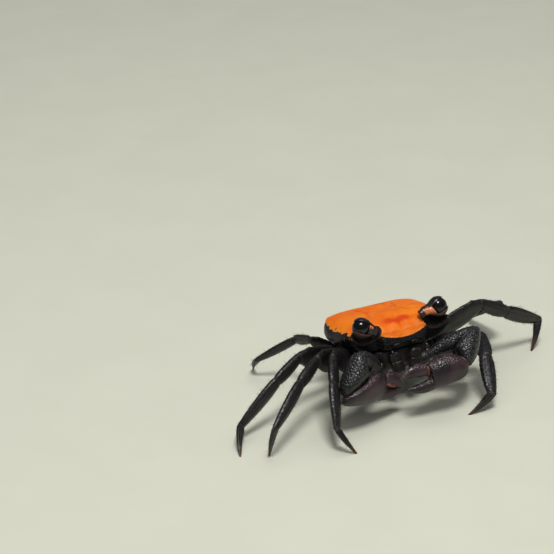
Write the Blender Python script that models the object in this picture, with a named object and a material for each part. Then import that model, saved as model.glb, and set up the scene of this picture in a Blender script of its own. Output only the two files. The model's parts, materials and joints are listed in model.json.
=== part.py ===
"""A vampire crab standing on its eight walking legs, as a still, life-size model.

The crab faces -Y, its own left side is +X, and its feet stand on z = 0 with the
middle of its bounding box over the origin. Sizes are in millimetres and become
metres where a mesh is made. The body is modelled in its own frame, whose origin
is the middle of the carapace at the height of its side margin, and is then
pitched nose up. Each limb is a chain of segments from its coxa: the pose gives
every segment a heading, measured from straight ahead towards the limb's own
side, and a rise above the horizontal.
"""

import math
from dataclasses import dataclass

import bmesh
import bpy
from mathutils import Euler, Matrix, Vector

MM = 0.001
GAP = 0.3

# Stance of the body
BODY_HEIGHT = 11.7
BODY_NOSE_UP = 14.5
BODY_LEFT_UP = 3.5

# Carapace, half outline from the middle of the front round to the middle of the rear
CARAPACE_HALF_WIDTH = 10.0
FRONT_Y = -8.75
REAR_Y = 9.5
MARGIN_Z = 0.25
DOME_RISE = 2.3
DOME_FLATNESS_X = 5.0
DOME_FLATNESS_Y = 4.0
CARAPACE_FLOOR_Z = -2.6
CARAPACE_OUTLINE = (
    (0.0, -8.35), (1.3, -8.45), (2.6, -8.45), (3.7, -8.4), (4.3, -8.1),
    (5.2, -8.0), (6.6, -8.0), (8.2, -7.8), (9.35, -7.45),
    (9.25, -6.5), (9.75, -5.9), (9.6, -5.2), (9.95, -4.0), (10.0, -2.0),
    (9.85, 0.5), (9.4, 3.0), (8.5, 5.4), (7.3, 7.3), (6.0, 8.3), (4.2, 8.7), (2.0, 8.9), (0.0, 8.95),
)
DORSAL_LEVELS = (0.14, 0.3, 0.46, 0.62, 0.76, 0.87, 0.95, 1.0)
WALL_LEVELS = (0.12, 0.35, 0.65, 0.85, 1.0)
WALL_DRAW_IN_X = 0.24
WALL_DRAW_IN_Y = 0.16
WALL_BULGE = 0.1
WALL_BULGE_GROWS = (-8.0, 2.0)
FRONT_OVERHANG = 0.55
FRONT_OVERHANG_SPAN = 0.85
FRONT_LIP = 0.45
FRONT_LIP_LEVELS = (0.7, 1.0)
FRONT_TAPER = 0.06
FRONT_BLEND_X = (5.0, 4.0)
FRONT_BLEND_Y = (-7.4, -8.0)
FRONT_LOBES = (1.25, 3.3)
FRONT_LOBE_Y = -7.6
FRONT_LOBE_HALF = (0.75, 0.8)
FRONT_LOBE_RISE = 0.35
GROOVE_DEPTH = 0.22
MIDDLE_GROOVE_HALF = 0.5
MIDDLE_GROOVE_END = (-3.5, -5.0)
BRANCH_GROOVE_X = 2.9
BRANCH_GROOVE_Y = 0.6
BRANCH_GROOVE_SPREAD = 0.25
BRANCH_GROOVE_HALF = 0.6
BRANCH_GROOVE_END = (4.6, 3.0)
CROSS_GROOVE_Y = 1.0
CROSS_GROOVE_HALF = 0.55
CROSS_GROOVE_END = (3.6, 2.4)

# Orbits and eyes
ORBIT_CENTRE = (6.6, -8.0, 1.9)
ORBIT_HALF = (2.6, 2.0, 2.25)
ORBIT_SEGMENTS = 18
ORBIT_RINGS = 12
EYE_AXES = {"left": (0.86, 0.05, 0.5), "right": (0.86, 0.1, 0.46)}
EYE_DROP = {"left": -0.7, "right": -0.1}
CORNEA_SEGMENTS = 16
CORNEA_RINGS = 10
CORNEA_HALF_LENGTH = 1.85
CORNEA_HALF_WIDTH = 1.5
CORNEA_ALONG_AXIS = 0.75
CORNEA_CUT = 1.1
STALK_RADIUS = 0.78
STALK_PROFILE = ((0.0, 1.0), (0.5, 1.12), (1.0, 1.28))
STALK_SIDES = 12
STALK_CLEARANCE = 0.75

# Thorax, half outline at its widest level
THORAX_OUTLINE = (
    (0.0, -7.5), (1.7, -7.5), (3.3, -7.45), (4.5, -7.0), (5.2, -5.5), (5.8, -3.3), (5.9, -1.0),
    (5.9, 1.4), (5.4, 3.6), (4.5, 5.4), (3.2, 6.7), (1.6, 7.3), (0.0, 7.4),
)
THORAX_TOP_Z = CARAPACE_FLOOR_Z - GAP
THORAX_LEVELS = (
    (0.0, 1.0, 1.0), (0.8, 1.0, 1.0), (1.8, 0.97, 0.98), (2.7, 0.86, 0.94), (3.3, 0.72, 0.9),
    (3.7, 0.5, 0.84),
)

# Pleon, folded under the thorax: seven plates
PLEON_THICK = 0.62
PLEON_HALF_WIDTHS = (3.3, 3.5, 3.2, 2.7, 2.2, 1.8, 1.1)
PLEON_FRONT_Y = -3.2
PLEON_GROOVE = 0.82
PLEON_CLEARANCE = 0.54
PLEON_TIP_SHARE = 0.45
PLEON_ROOT_DROP = 0.25
PLEON_WRAP = (0.9, 0.45)
PLEON_TURN_IN = 0.6
PLEON_MIDDLE_Y = 2.0
PLEON_STEPS = 6

# Mouth plates and antennae
MOUTH_PLATE = (
    (0.35, -6.6), (2.5, -6.5), (2.95, -4.9), (2.8, -3.5), (1.75, -3.15), (0.95, -3.6), (0.75, -4.9),
)
MOUTH_PLATE_MIDDLE = (1.7, -4.9)
MOUTH_PLATE_LEVELS = ((0.0, 1.0), (0.45, 1.0), (0.7, 0.84))
ANTENNA_FOOT = (3.3, -8.42, 0.68)
ANTENNA_LENGTH = 1.9
ANTENNA_RADIUS = 0.28
ANTENNA_CLEARANCE = 0.36
ANTENNA_PROFILE = ((0.0, 1.5), (0.2, 1.4), (0.28, 1.0), (0.65, 0.95), (1.0, 0.43))
ANTENNA_SIDES = 8
SLOPE_STEP_X = 0.2
SLOPE_STEP_LEVEL = 0.05

# Limbs: roots in the frame of the body, lengths of the segments
CLAW_ROOT = (4.9, -7.0, -5.3)
LEG_ROOTS = {2: (6.3, -2.9, -4.8), 3: (6.7, -0.3, -4.7), 4: (6.5, 2.3, -4.5), 5: (6.4, 4.9, -5.5)}
COXA_RADIUS = {1: 1.2, 2: 1.0, 3: 1.05, 4: 1.05, 5: 0.95}
COXA_LENGTH = 2.4
COXA_PROFILE = ((0.0, 1.0, 1.0), (0.6, 1.0, 1.0), (1.0, 0.72, 0.68))
MERUS = {2: 10.2, 3: 13.3, 4: 13.8, 5: 8.8}
CARPUS = {2: 4.8, 3: 5.8, 4: 6.0, 5: 4.6}
PROPODUS = {2: 7.8, 3: 9.4, 4: 9.7, 5: 8.4}
DACTYL = {2: 5.2, 3: 5.8, 4: 6.0, 5: 5.0}
CLAW_MERUS = 7.4
CLAW_CARPUS = 5.45
PALM = 6.6
FIXED_FINGER = 5.7
MOVING_FINGER = 4.6
LEG_STOUTNESS = {2: 1.0, 3: 1.0, 4: 1.0, 5: 0.75}
LEG_SIDES = 10
CLAW_SIDES = 14
FINGER_SIDES = 10
MITRE_REACH = 2.4
STEEPEST_DACTYL = 0.97


@dataclass(frozen=True)
class Ring:
    """A cross section of a limb: its place along the segment and its half sizes."""

    at: float
    high: float
    wide: float
    tooth: float = 0.0


@dataclass(frozen=True)
class LegPose:
    """Headings and rises, in degrees, of the segments of one walking leg."""

    side: str
    pair: int
    merus: tuple
    carpus: tuple
    propodus: tuple
    dactyl_heading: float


@dataclass(frozen=True)
class ClawPose:
    """Headings and rises, in degrees, of one claw, its roll, and how far it is open."""

    side: str
    merus: tuple
    carpus: tuple
    palm: tuple
    roll: float
    opening: float


LEG_POSES = (
    LegPose("right", 2, (53.5, 24.5), (22, -28), (16, -43), -54),
    LegPose("right", 3, (53, 21.5), (52, -18), (50, -26.5), 155),
    LegPose("right", 4, (63, 18), (63, -22), (72, -37), 21),
    LegPose("right", 5, (78.5, 36), (165, -21.5), (122, -34.5), 190),
    LegPose("left", 2, (86, -1), (-16, -14), (-17, -30), -86),
    LegPose("left", 3, (102, 16.5), (92, -25), (105, -26.5), -45),
    LegPose("left", 4, (104, 4), (112, -3), (182, -32), 190),
    LegPose("left", 5, (130, 8), (150, -8), (162, -26), 170),
)
CLAW_POSES = (
    ClawPose("right", (52, 33.5), (52, -50.5), (-104, -10.5), 8.0, 0.0),
    ClawPose("left", (80, 23), (-36, -30), (-84, -9), 20.0, 20.0),
)
SIDE_SIGN = {"left": 1.0, "right": -1.0}

MERUS_RINGS = (
    Ring(0.0, 0.78, 0.68), Ring(0.09, 1.0, 0.62), Ring(0.25, 1.6, 0.66), Ring(0.45, 2.05, 0.72),
    Ring(0.66, 2.1, 0.75), Ring(0.8, 1.95, 0.75), Ring(0.85, 1.8, 0.75, 0.3), Ring(0.9, 1.6, 0.75),
    Ring(1.0, 1.1, 0.72),
)
CARPUS_RINGS = (
    Ring(0.0, 1.05, 0.7), Ring(0.3, 1.28, 0.8), Ring(0.7, 1.4, 0.82), Ring(1.0, 1.15, 0.7),
)
PROPODUS_RINGS = (
    Ring(0.0, 1.15, 0.7), Ring(0.2, 1.38, 0.76), Ring(0.5, 1.36, 0.74), Ring(0.8, 1.1, 0.64),
    Ring(1.0, 0.8, 0.54),
)
DACTYL_RINGS = (
    Ring(0.0, 0.76, 0.5), Ring(0.2, 0.76, 0.48), Ring(0.5, 0.58, 0.4), Ring(0.8, 0.36, 0.28),
    Ring(1.06, 0.17, 0.17),
)
DACTYL_BOW = 0.04
CLAW_MERUS_RINGS = (
    Ring(0.0, 0.85, 0.8), Ring(0.15, 1.15, 1.0), Ring(0.45, 1.5, 1.25), Ring(0.75, 1.65, 1.4),
    Ring(0.9, 1.45, 1.3), Ring(1.0, 1.15, 1.1),
)
CLAW_CARPUS_RINGS = (
    Ring(0.0, 1.15, 1.15), Ring(0.15, 1.75, 1.75), Ring(0.42, 2.15, 2.12), Ring(0.7, 2.1, 2.08),
    Ring(0.9, 1.5, 1.5), Ring(1.0, 1.0, 1.05),
)
PALM_RINGS = (
    Ring(0.0, 1.2, 1.1), Ring(0.1, 2.0, 1.6), Ring(0.28, 2.55, 1.9), Ring(0.5, 2.7, 1.95),
    Ring(0.75, 2.55, 1.75), Ring(0.93, 2.25, 1.45), Ring(1.0, 2.05, 1.2),
)
FIXED_FINGER_RINGS = (
    Ring(0.0, 1.0, 0.95), Ring(0.25, 1.08, 0.85), Ring(0.55, 0.92, 0.7), Ring(0.8, 0.62, 0.48),
    Ring(1.0, 0.18, 0.18),
)
MOVING_FINGER_RINGS = (
    Ring(0.0, 1.0, 0.85), Ring(0.25, 1.2, 0.85), Ring(0.55, 1.04, 0.7), Ring(0.8, 0.68, 0.48),
    Ring(1.0, 0.18, 0.18),
)
FIXED_FINGER_Z = -1.3
FIXED_FINGER_ROOT = 0.9
FIXED_FINGER_LEAN = 4.0
MOVING_FINGER_Z = 1.3
MOVING_FINGER_CLOSED = 16.0
FINGER_CLEARANCE = 0.5
FINGER_BOW = 0.06
FINGER_TEETH = (0.3, 0.46, 0.6, 0.74)
TOOTH_RADIUS = 0.2
TOOTH_LENGTH = 0.32
TOOTH_TIP_RADIUS = 0.4 * TOOTH_RADIUS
TOOTH_ROOT = 0.1
TOOTH_SIDES = 6


def clear_scene():
    """Remove what the scene holds at the start."""
    for item in list(bpy.data.objects):
        bpy.data.objects.remove(item, do_unlink=True)


def make_material(name, colour, roughness):
    """Return a Principled material of one colour."""
    material = bpy.data.materials.new(name)
    material.use_nodes = True
    shader = material.node_tree.nodes["Principled BSDF"]
    shader.inputs["Base Color"].default_value = (*colour, 1.0)
    shader.inputs["Roughness"].default_value = roughness
    shader.inputs["Metallic"].default_value = 0.0
    return material


def make_collection(name):
    """Return a new collection of the scene."""
    collection = bpy.data.collections.new(name)
    bpy.context.scene.collection.children.link(collection)
    return collection


def blend(low, high, value):
    """Return 0 below low, 1 above high and a smooth step between."""
    share = min(1.0, max(0.0, (value - low) / (high - low)))
    return share * share * (3.0 - 2.0 * share)


def direction(side, heading, rise):
    """Return the unit vector of a heading and a rise on one side of the body."""
    flat = math.cos(math.radians(rise))
    across = SIDE_SIGN[side] * math.sin(math.radians(heading)) * flat
    return Vector((across, -math.cos(math.radians(heading)) * flat, math.sin(math.radians(rise))))


def body_matrix():
    """Return the matrix, in millimetres, from the frame of the body to the world."""
    turn = Euler((-math.radians(BODY_NOSE_UP), -math.radians(BODY_LEFT_UP), 0.0))
    return Matrix.Translation((0.0, 0.0, BODY_HEIGHT)) @ turn.to_matrix().to_4x4()


def mirrored(point, side):
    """Return a point of the left side on the side that is asked for."""
    return Vector((point[0] * SIDE_SIGN[side], point[1], point[2]))


def smooth_line(points, steps):
    """Return points along a Catmull-Rom curve through the given points."""
    line = []
    last = len(points) - 1
    for index in range(last):
        before = Vector(points[max(0, index - 1)])
        start = Vector(points[index])
        end = Vector(points[index + 1])
        after = Vector(points[min(last, index + 2)])
        for step in range(steps):
            t = step / steps
            curve = start * 2.0 + (end - before) * t
            curve += (before * 2.0 - start * 5.0 + end * 4.0 - after) * t * t
            curve += (start * 3.0 - before - end * 3.0 + after) * t * t * t
            line.append(curve * 0.5)
    line.append(Vector(points[last]))
    return line


def whole_outline(half, steps):
    """Return a closed outline from its left half, which starts and ends at x = 0."""
    left = smooth_line(half, steps)
    right = [Vector((-point.x, point.y)) for point in reversed(left[1:-1])]
    return left + right


def join_rings(rings):
    """Return a mesh in metres whose skin runs through rings of equal count."""
    shape = bmesh.new()
    rows = [[shape.verts.new(Vector(point) * MM) for point in ring] for ring in rings]
    count = len(rows[0])
    for lower, upper in zip(rows, rows[1:]):
        for index in range(count):
            after = (index + 1) % count
            shape.faces.new((lower[index], lower[after], upper[after], upper[index]))
    shape.faces.new(rows[0])
    shape.faces.new(rows[-1])
    bmesh.ops.recalc_face_normals(shape, faces=shape.faces)
    mesh = bpy.data.meshes.new("skin")
    shape.to_mesh(mesh)
    shape.free()
    return mesh


def round_off(mesh, angle=50.0):
    """Shade a mesh smooth but for its sharp edges."""
    mesh.shade_smooth()
    mesh.set_sharp_from_angle(angle=math.radians(angle))


def add_node(name, mesh, material, collection, parent, matrix=None):
    """Add one named sub-part, placed in the frame of its parent."""
    mesh.name = name
    mesh.materials.clear()
    mesh.materials.append(material)
    node = bpy.data.objects.new(name, mesh)
    collection.objects.link(node)
    node.parent = parent
    if matrix is not None:
        place = matrix.copy()
        place.translation *= MM
        node.matrix_basis = place
    return node


def applied(node):
    """Replace an object's mesh by its evaluated one and drop its modifiers."""
    graph = bpy.context.evaluated_depsgraph_get()
    mesh = bpy.data.meshes.new_from_object(node.evaluated_get(graph))
    mesh.name = node.name
    node.modifiers.clear()
    node.data = mesh


def keep_largest(mesh):
    """Leave only the largest closed surface of a mesh."""
    shape = bmesh.new()
    shape.from_mesh(mesh)
    left = set(shape.verts)
    islands = []
    while left:
        stack = [left.pop()]
        island = set(stack)
        while stack:
            for edge in stack.pop().link_edges:
                for vertex in edge.verts:
                    if vertex in left:
                        left.remove(vertex)
                        island.add(vertex)
                        stack.append(vertex)
        islands.append(island)
    biggest = max(islands, key=len)
    loose = [vertex for vertex in shape.verts if vertex not in biggest]
    bmesh.ops.delete(shape, geom=loose, context="VERTS")
    shape.to_mesh(mesh)
    shape.free()


def fuse(node, pieces):
    """Join closed pieces, given as meshes with matrices in the node's frame, to a node."""
    group = make_collection(node.name + "_pieces")
    helpers = []
    for mesh, matrix in pieces:
        helper = bpy.data.objects.new(node.name + "_piece", mesh)
        place = matrix.copy()
        place.translation *= MM
        group.objects.link(helper)
        helper.parent = node
        helper.matrix_basis = place
        helpers.append(helper)
    union = node.modifiers.new("fuse", "BOOLEAN")
    union.operation = "UNION"
    union.operand_type = "COLLECTION"
    union.collection = group
    union.solver = "EXACT"
    bpy.context.view_layer.update()
    applied(node)
    for helper in helpers:
        bpy.data.objects.remove(helper, do_unlink=True)
    bpy.data.collections.remove(group)
    keep_largest(node.data)
    round_off(node.data)


def dorsal_height(x, y):
    """Return the height of the carapace's upper surface in the frame of the body."""
    reach = FRONT_Y if y < 0.0 else REAR_Y
    across = max(0.0, 1.0 - abs(x / CARAPACE_HALF_WIDTH) ** DOME_FLATNESS_X)
    along = max(0.0, 1.0 - abs(y / reach) ** DOME_FLATNESS_Y)
    height = MARGIN_Z + DOME_RISE * across * along
    for lobe in FRONT_LOBES:
        aside = (abs(x) - lobe) / FRONT_LOBE_HALF[0]
        ahead = (y - FRONT_LOBE_Y) / FRONT_LOBE_HALF[1]
        height += FRONT_LOBE_RISE * math.exp(-aside ** 2 - ahead ** 2)
    middle = math.exp(-(x / MIDDLE_GROOVE_HALF) ** 2) * blend(*MIDDLE_GROOVE_END, y)
    along = abs(y - BRANCH_GROOVE_Y)
    aside = (abs(x) - BRANCH_GROOVE_X - BRANCH_GROOVE_SPREAD * along) / BRANCH_GROOVE_HALF
    branch = math.exp(-aside ** 2) * blend(*BRANCH_GROOVE_END, along)
    cross = math.exp(-((y - CROSS_GROOVE_Y) / CROSS_GROOVE_HALF) ** 2) * blend(*CROSS_GROOVE_END, abs(x))
    return height - GROOVE_DEPTH * max(middle, branch, cross)


def frontness(x, y):
    """Return 1 on the bent-down front between the orbits and 0 elsewhere."""
    return blend(*FRONT_BLEND_X, abs(x)) * blend(*FRONT_BLEND_Y, y)


def carapace_wall(x, y, level):
    """Return a point of the carapace's side wall, from its margin at 0 to its floor at 1."""
    top = dorsal_height(x, y)
    front = frontness(x, y)
    bulge = WALL_BULGE * math.sin(math.pi * level) * blend(*WALL_BULGE_GROWS, y)
    inner_x = x * (1.0 + bulge - WALL_DRAW_IN_X * level ** 2)
    inner_y = y * (1.0 + bulge * 0.5 - WALL_DRAW_IN_Y * level ** 1.5)
    overhang = FRONT_OVERHANG * math.sin(math.pi * min(1.0, level / FRONT_OVERHANG_SPAN) ** 1.5)
    front_y = y - overhang + FRONT_LIP * blend(*FRONT_LIP_LEVELS, level)
    front_x = x * (1.0 - FRONT_TAPER * level)
    height = top + (CARAPACE_FLOOR_Z - top) * level
    return Vector((inner_x + (front_x - inner_x) * front, inner_y + (front_y - inner_y) * front, height))


def build_carapace(collection, cutters, parent, material):
    """Build the shield with its teeth, grooves, bent-down front and open orbits."""
    outline = whole_outline(CARAPACE_OUTLINE, 2)
    rings = []
    for level in DORSAL_LEVELS:
        ring = [(point.x * level, point.y * level) for point in outline]
        rings.append([Vector((x, y, dorsal_height(x, y))) for x, y in ring])
    for level in WALL_LEVELS:
        rings.append([carapace_wall(point.x, point.y, level) for point in outline])
    mesh = join_rings(rings)
    round_off(mesh)
    carapace = add_node("carapace", mesh, material, collection, parent)
    for side in SIDE_SIGN:
        bpy.ops.mesh.primitive_uv_sphere_add(
            segments=ORBIT_SEGMENTS, ring_count=ORBIT_RINGS, radius=MM
        )
        cutter = bpy.context.object
        cutter.name = "orbit_cutter_" + side
        cutter.data.transform(Matrix.Diagonal((*ORBIT_HALF, 1.0)))
        for owner in list(cutter.users_collection):
            owner.objects.unlink(cutter)
        cutters.objects.link(cutter)
        cutter.parent = parent
        cutter.location = mirrored(ORBIT_CENTRE, side) * MM
        cutter.hide_render = True
        cutter.display_type = "WIRE"
        cut = carapace.modifiers.new("orbit_" + side, "BOOLEAN")
        cut.operation = "DIFFERENCE"
        cut.object = cutter
        cut.solver = "EXACT"


def thorax_ring(outline, level):
    """Return the thorax's ring of points at one of its levels."""
    drop, scale_x, scale_y = level
    return [Vector((point.x * scale_x, point.y * scale_y, THORAX_TOP_Z - drop)) for point in outline]


def build_thorax(collection, parent, material, limbs):
    """Build the underside of the body with the ten coxae that carry the limbs."""
    outline = whole_outline(THORAX_OUTLINE, 2)
    mesh = join_rings([thorax_ring(outline, level) for level in THORAX_LEVELS])
    thorax = add_node("thorax", mesh, material, collection, parent)
    inward = body_matrix().inverted()
    coxae = []
    for root, heading, up, radius in limbs:
        frame = inward @ limb_matrix(root - heading * (COXA_LENGTH + GAP / 2.0), heading, up)
        rings = [Ring(at, radius * high, radius * wide) for at, high, wide in COXA_PROFILE]
        coxae.append((limb_mesh(COXA_LENGTH, rings, LEG_SIDES), frame))
    fuse(thorax, coxae)


def build_pleon(collection, parent, material):
    """Build the tail that is folded under the thorax, as seven low plates."""
    lift = PLEON_CLEARANCE + PLEON_THICK / 2.0
    rear = THORAX_OUTLINE[-1][1]
    floor_z = THORAX_TOP_Z - THORAX_LEVELS[-1][0] - GAP - PLEON_THICK / 2.0
    route = [Vector((0.0, rear + lift, THORAX_TOP_Z - PLEON_ROOT_DROP))]
    for drop, _, scale_y in THORAX_LEVELS[2:-1]:
        out, down = (lift * share for share in PLEON_WRAP)
        route.append(Vector((0.0, rear * scale_y + out, THORAX_TOP_Z - drop - down)))
    route.append(Vector((0.0, rear * THORAX_LEVELS[-1][2] - PLEON_TURN_IN, floor_z)))
    route.append(Vector((0.0, PLEON_MIDDLE_Y, floor_z)))
    route.append(Vector((0.0, PLEON_FRONT_Y, floor_z)))
    path = smooth_line(route, PLEON_STEPS)
    rings = []
    plates = len(PLEON_HALF_WIDTHS)
    for index, point in enumerate(path[::2]):
        here = index * 2
        ahead = path[min(len(path) - 1, here + 1)] - path[max(0, here - 1)]
        normal = Vector((0.0, ahead.z, -ahead.y)).normalized()
        share = here / (len(path) - 1) * plates
        plate = min(plates - 1, int(share))
        nearer = PLEON_HALF_WIDTHS[min(plates - 1, plate + 1)]
        width = PLEON_HALF_WIDTHS[plate] + (nearer - PLEON_HALF_WIDTHS[plate]) * (share - plate)
        thick = PLEON_THICK / 2.0 * (PLEON_GROOVE if index % 2 else 1.0)
        if here == len(path) - 1:
            width = width * PLEON_TIP_SHARE
        ring = []
        for side in range(LEG_SIDES):
            angle = math.tau * side / LEG_SIDES
            aside = Vector((width * math.cos(angle), 0.0, 0.0))
            ring.append(point + aside + normal * thick * math.sin(angle))
        rings.append(ring)
    mesh = join_rings(rings)
    round_off(mesh)
    add_node("pleon", mesh, material, collection, parent)


def reach_in_orbit(start, heading):
    """Return how far a line from a point, given from the orbit's centre, runs to the orbit's wall."""
    square = sum((part / half) ** 2 for part, half in zip(heading, ORBIT_HALF))
    middle = sum(part * place / half ** 2 for part, place, half in zip(heading, start, ORBIT_HALF))
    inside = sum((place / half) ** 2 for place, half in zip(start, ORBIT_HALF)) - 1.0
    return (-middle + math.sqrt(middle ** 2 - square * inside)) / square


def build_eye(side, collection, parent, cornea_material, stalk_material):
    """Build one eye: the cornea with a flat base, and the stalk under it."""
    axis = mirrored(EYE_AXES[side], side).normalized()
    drop = Vector((0.0, 0.0, -EYE_DROP[side]))
    centre = mirrored(ORBIT_CENTRE, side) + drop
    turn = axis.to_track_quat("Z", "Y").to_matrix().to_4x4()
    shape = bmesh.new()
    bmesh.ops.create_uvsphere(
        shape, u_segments=CORNEA_SEGMENTS, v_segments=CORNEA_RINGS, radius=MM
    )
    stretch = Matrix.Diagonal((CORNEA_HALF_WIDTH, CORNEA_HALF_WIDTH, CORNEA_HALF_LENGTH, 1.0))
    bmesh.ops.transform(shape, matrix=stretch, verts=shape.verts)
    cut = bmesh.ops.bisect_plane(
        shape, geom=shape.verts[:] + shape.edges[:] + shape.faces[:],
        plane_co=(0.0, 0.0, -CORNEA_CUT * MM), plane_no=(0.0, 0.0, -1.0), clear_outer=True,
    )
    rim = [item for item in cut["geom_cut"] if isinstance(item, bmesh.types.BMEdge)]
    bmesh.ops.contextual_create(shape, geom=rim)
    bmesh.ops.recalc_face_normals(shape, faces=shape.faces)
    mesh = bpy.data.meshes.new("eye_" + side)
    shape.to_mesh(mesh)
    shape.free()
    round_off(mesh)
    frame = Matrix.Translation(centre + axis * CORNEA_ALONG_AXIS) @ turn
    add_node("eye_" + side, mesh, cornea_material, collection, parent, frame)
    base = STALK_CLEARANCE - reach_in_orbit(drop, -axis)
    top = CORNEA_ALONG_AXIS - CORNEA_CUT - GAP
    rings = [Ring(at, STALK_RADIUS * size, STALK_RADIUS * size) for at, size in STALK_PROFILE]
    stalk = limb_mesh(top - base, rings, STALK_SIDES)
    frame = limb_matrix(centre + axis * base, axis, Vector((0.0, 0.0, 1.0)))
    add_node("eyestalk_" + side, stalk, stalk_material, collection, parent, frame)


def build_mouth(side, collection, parent, material):
    """Build one of the two outer mouth plates, which leave a gape between them."""
    sign = SIDE_SIGN[side]
    back = THORAX_OUTLINE[0][1] - GAP
    rings = []
    middle = Vector(MOUTH_PLATE_MIDDLE)
    for depth, shrink in MOUTH_PLATE_LEVELS:
        ring = []
        for x, z in MOUTH_PLATE:
            flat = middle + (Vector((x, z)) - middle) * shrink
            ring.append(Vector((flat.x * sign, back - depth, flat.y)))
        rings.append(ring)
    mesh = join_rings(rings)
    add_node("maxilliped_" + side, mesh, material, collection, parent)


def build_antenna(side, collection, parent, material):
    """Build one short antenna, which stands in front of the orbit's inner corner."""
    x, y, level = ANTENNA_FOOT
    wall = carapace_wall(x, y, level)
    across = carapace_wall(x + SLOPE_STEP_X, y, level) - carapace_wall(x - SLOPE_STEP_X, y, level)
    down = carapace_wall(x, y, level + SLOPE_STEP_LEVEL) - carapace_wall(x, y, level - SLOPE_STEP_LEVEL)
    normal = across.cross(down).normalized()
    if normal.y > 0.0:
        normal.negate()
    axis = mirrored(normal, side)
    start = mirrored(wall, side) + axis * ANTENNA_CLEARANCE
    rings = [Ring(at, ANTENNA_RADIUS * size, ANTENNA_RADIUS * size) for at, size in ANTENNA_PROFILE]
    mesh = limb_mesh(ANTENNA_LENGTH, rings, ANTENNA_SIDES)
    frame = limb_matrix(start, axis, Vector((0.0, 0.0, 1.0)))
    add_node("antenna_" + side, mesh, material, collection, parent, frame)


def limb_matrix(start, heading, up):
    """Return a frame at start with X along the heading and Z as near to up as it can be."""
    along = heading.normalized()
    across = up.cross(along).normalized()
    above = along.cross(across)
    frame = Matrix((along, across, above)).transposed().to_4x4()
    frame.translation = start
    return frame


def limb_mesh(length, rings, sides, bow=0.0, start_plane=None, end_plane=None):
    """Return a limb segment along X, whose end faces may slant to meet a neighbour's.

    The planes are given by their normals in the segment's own frame. The rings next
    to a slanted end slant with it, and less the farther they are from it.
    """
    skin = []
    for ring in rings:
        along = ring.at * length
        lift = bow * length * math.sin(math.pi * min(1.0, ring.at))
        points = []
        for side in range(sides):
            angle = math.tau * side / sides + math.pi / 2.0
            across = ring.wide * math.cos(angle)
            above = ring.high * math.sin(angle)
            if side == 0:
                above += ring.tooth
            slide = 0.0
            for plane, far in ((start_plane, along), (end_plane, length - along)):
                if plane is not None:
                    near = max(0.0, 1.0 - far / (MITRE_REACH * ring.high))
                    slide -= near * (across * plane.y + above * plane.z) / plane.x
            points.append(Vector((along + slide, across, above + lift)))
        skin.append(points)
    mesh = join_rings(skin)
    round_off(mesh)
    return mesh


def mitre(before, after):
    """Return the normal of the plane in which two neighbouring segments meet."""
    return (before.normalized() + after.normalized()).normalized()


def chain(start, headings, lengths):
    """Return the joints of a limb from its root to its tip."""
    joints = [start]
    for heading, length in zip(headings, lengths):
        joints.append(joints[-1] + heading * length)
    return joints


def segment(start, end, before, after, up, rings, sides, bow=0.0):
    """Return the mesh and the frame of the segment between two joints."""
    along = (end - start).normalized()
    first = mitre(before, along) if before is not None else along
    last = mitre(along, after) if after is not None else along
    head = start + along * (GAP / 2.0) / first.dot(along)
    tail = end - along * (GAP / 2.0) / last.dot(along) if after is not None else end
    frame = limb_matrix(head, along, up)
    turn = frame.to_3x3().transposed()
    mesh = limb_mesh((tail - head).length, rings, sides, bow, turn @ first, turn @ last)
    return mesh, frame


def cut_at_floor(mesh, frame):
    """Cut a foot level with the floor, so that it stands on a small flat."""
    shape = bmesh.new()
    shape.from_mesh(mesh)
    place = frame.copy()
    place.translation *= MM
    to_local = place.inverted()
    down = to_local.to_3x3() @ Vector((0.0, 0.0, -1.0))
    cut = bmesh.ops.bisect_plane(
        shape, geom=shape.verts[:] + shape.edges[:] + shape.faces[:],
        plane_co=to_local @ Vector((0.0, 0.0, 0.0)), plane_no=down, clear_outer=True,
    )
    rim = [item for item in cut["geom_cut"] if isinstance(item, bmesh.types.BMEdge)]
    if rim:
        bmesh.ops.contextual_create(shape, geom=rim)
    bmesh.ops.recalc_face_normals(shape, faces=shape.faces)
    shape.to_mesh(mesh)
    shape.free()


def leg_headings(pose, root):
    """Return the headings of a leg's segments, the last let down so that its tip meets the floor."""
    headings = [direction(pose.side, *part) for part in (pose.merus, pose.carpus, pose.propodus)]
    lengths = (MERUS[pose.pair], CARPUS[pose.pair], PROPODUS[pose.pair])
    ankle = chain(root, headings, lengths)[-1]
    drop = min(STEEPEST_DACTYL, ankle.z / DACTYL[pose.pair])
    headings.append(direction(pose.side, pose.dactyl_heading, -math.degrees(math.asin(drop))))
    return headings


def outer_side(headings, index):
    """Return the side of a leg's segment that lies outside the bend of the leg."""
    along = headings[index]
    merus = headings[0]
    propodus = headings[2]
    if index == 0:
        return propodus.project(along) - propodus
    if index == 1:
        return (merus - merus.project(along)) + (propodus.project(along) - propodus)
    return merus - merus.project(along)


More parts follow.
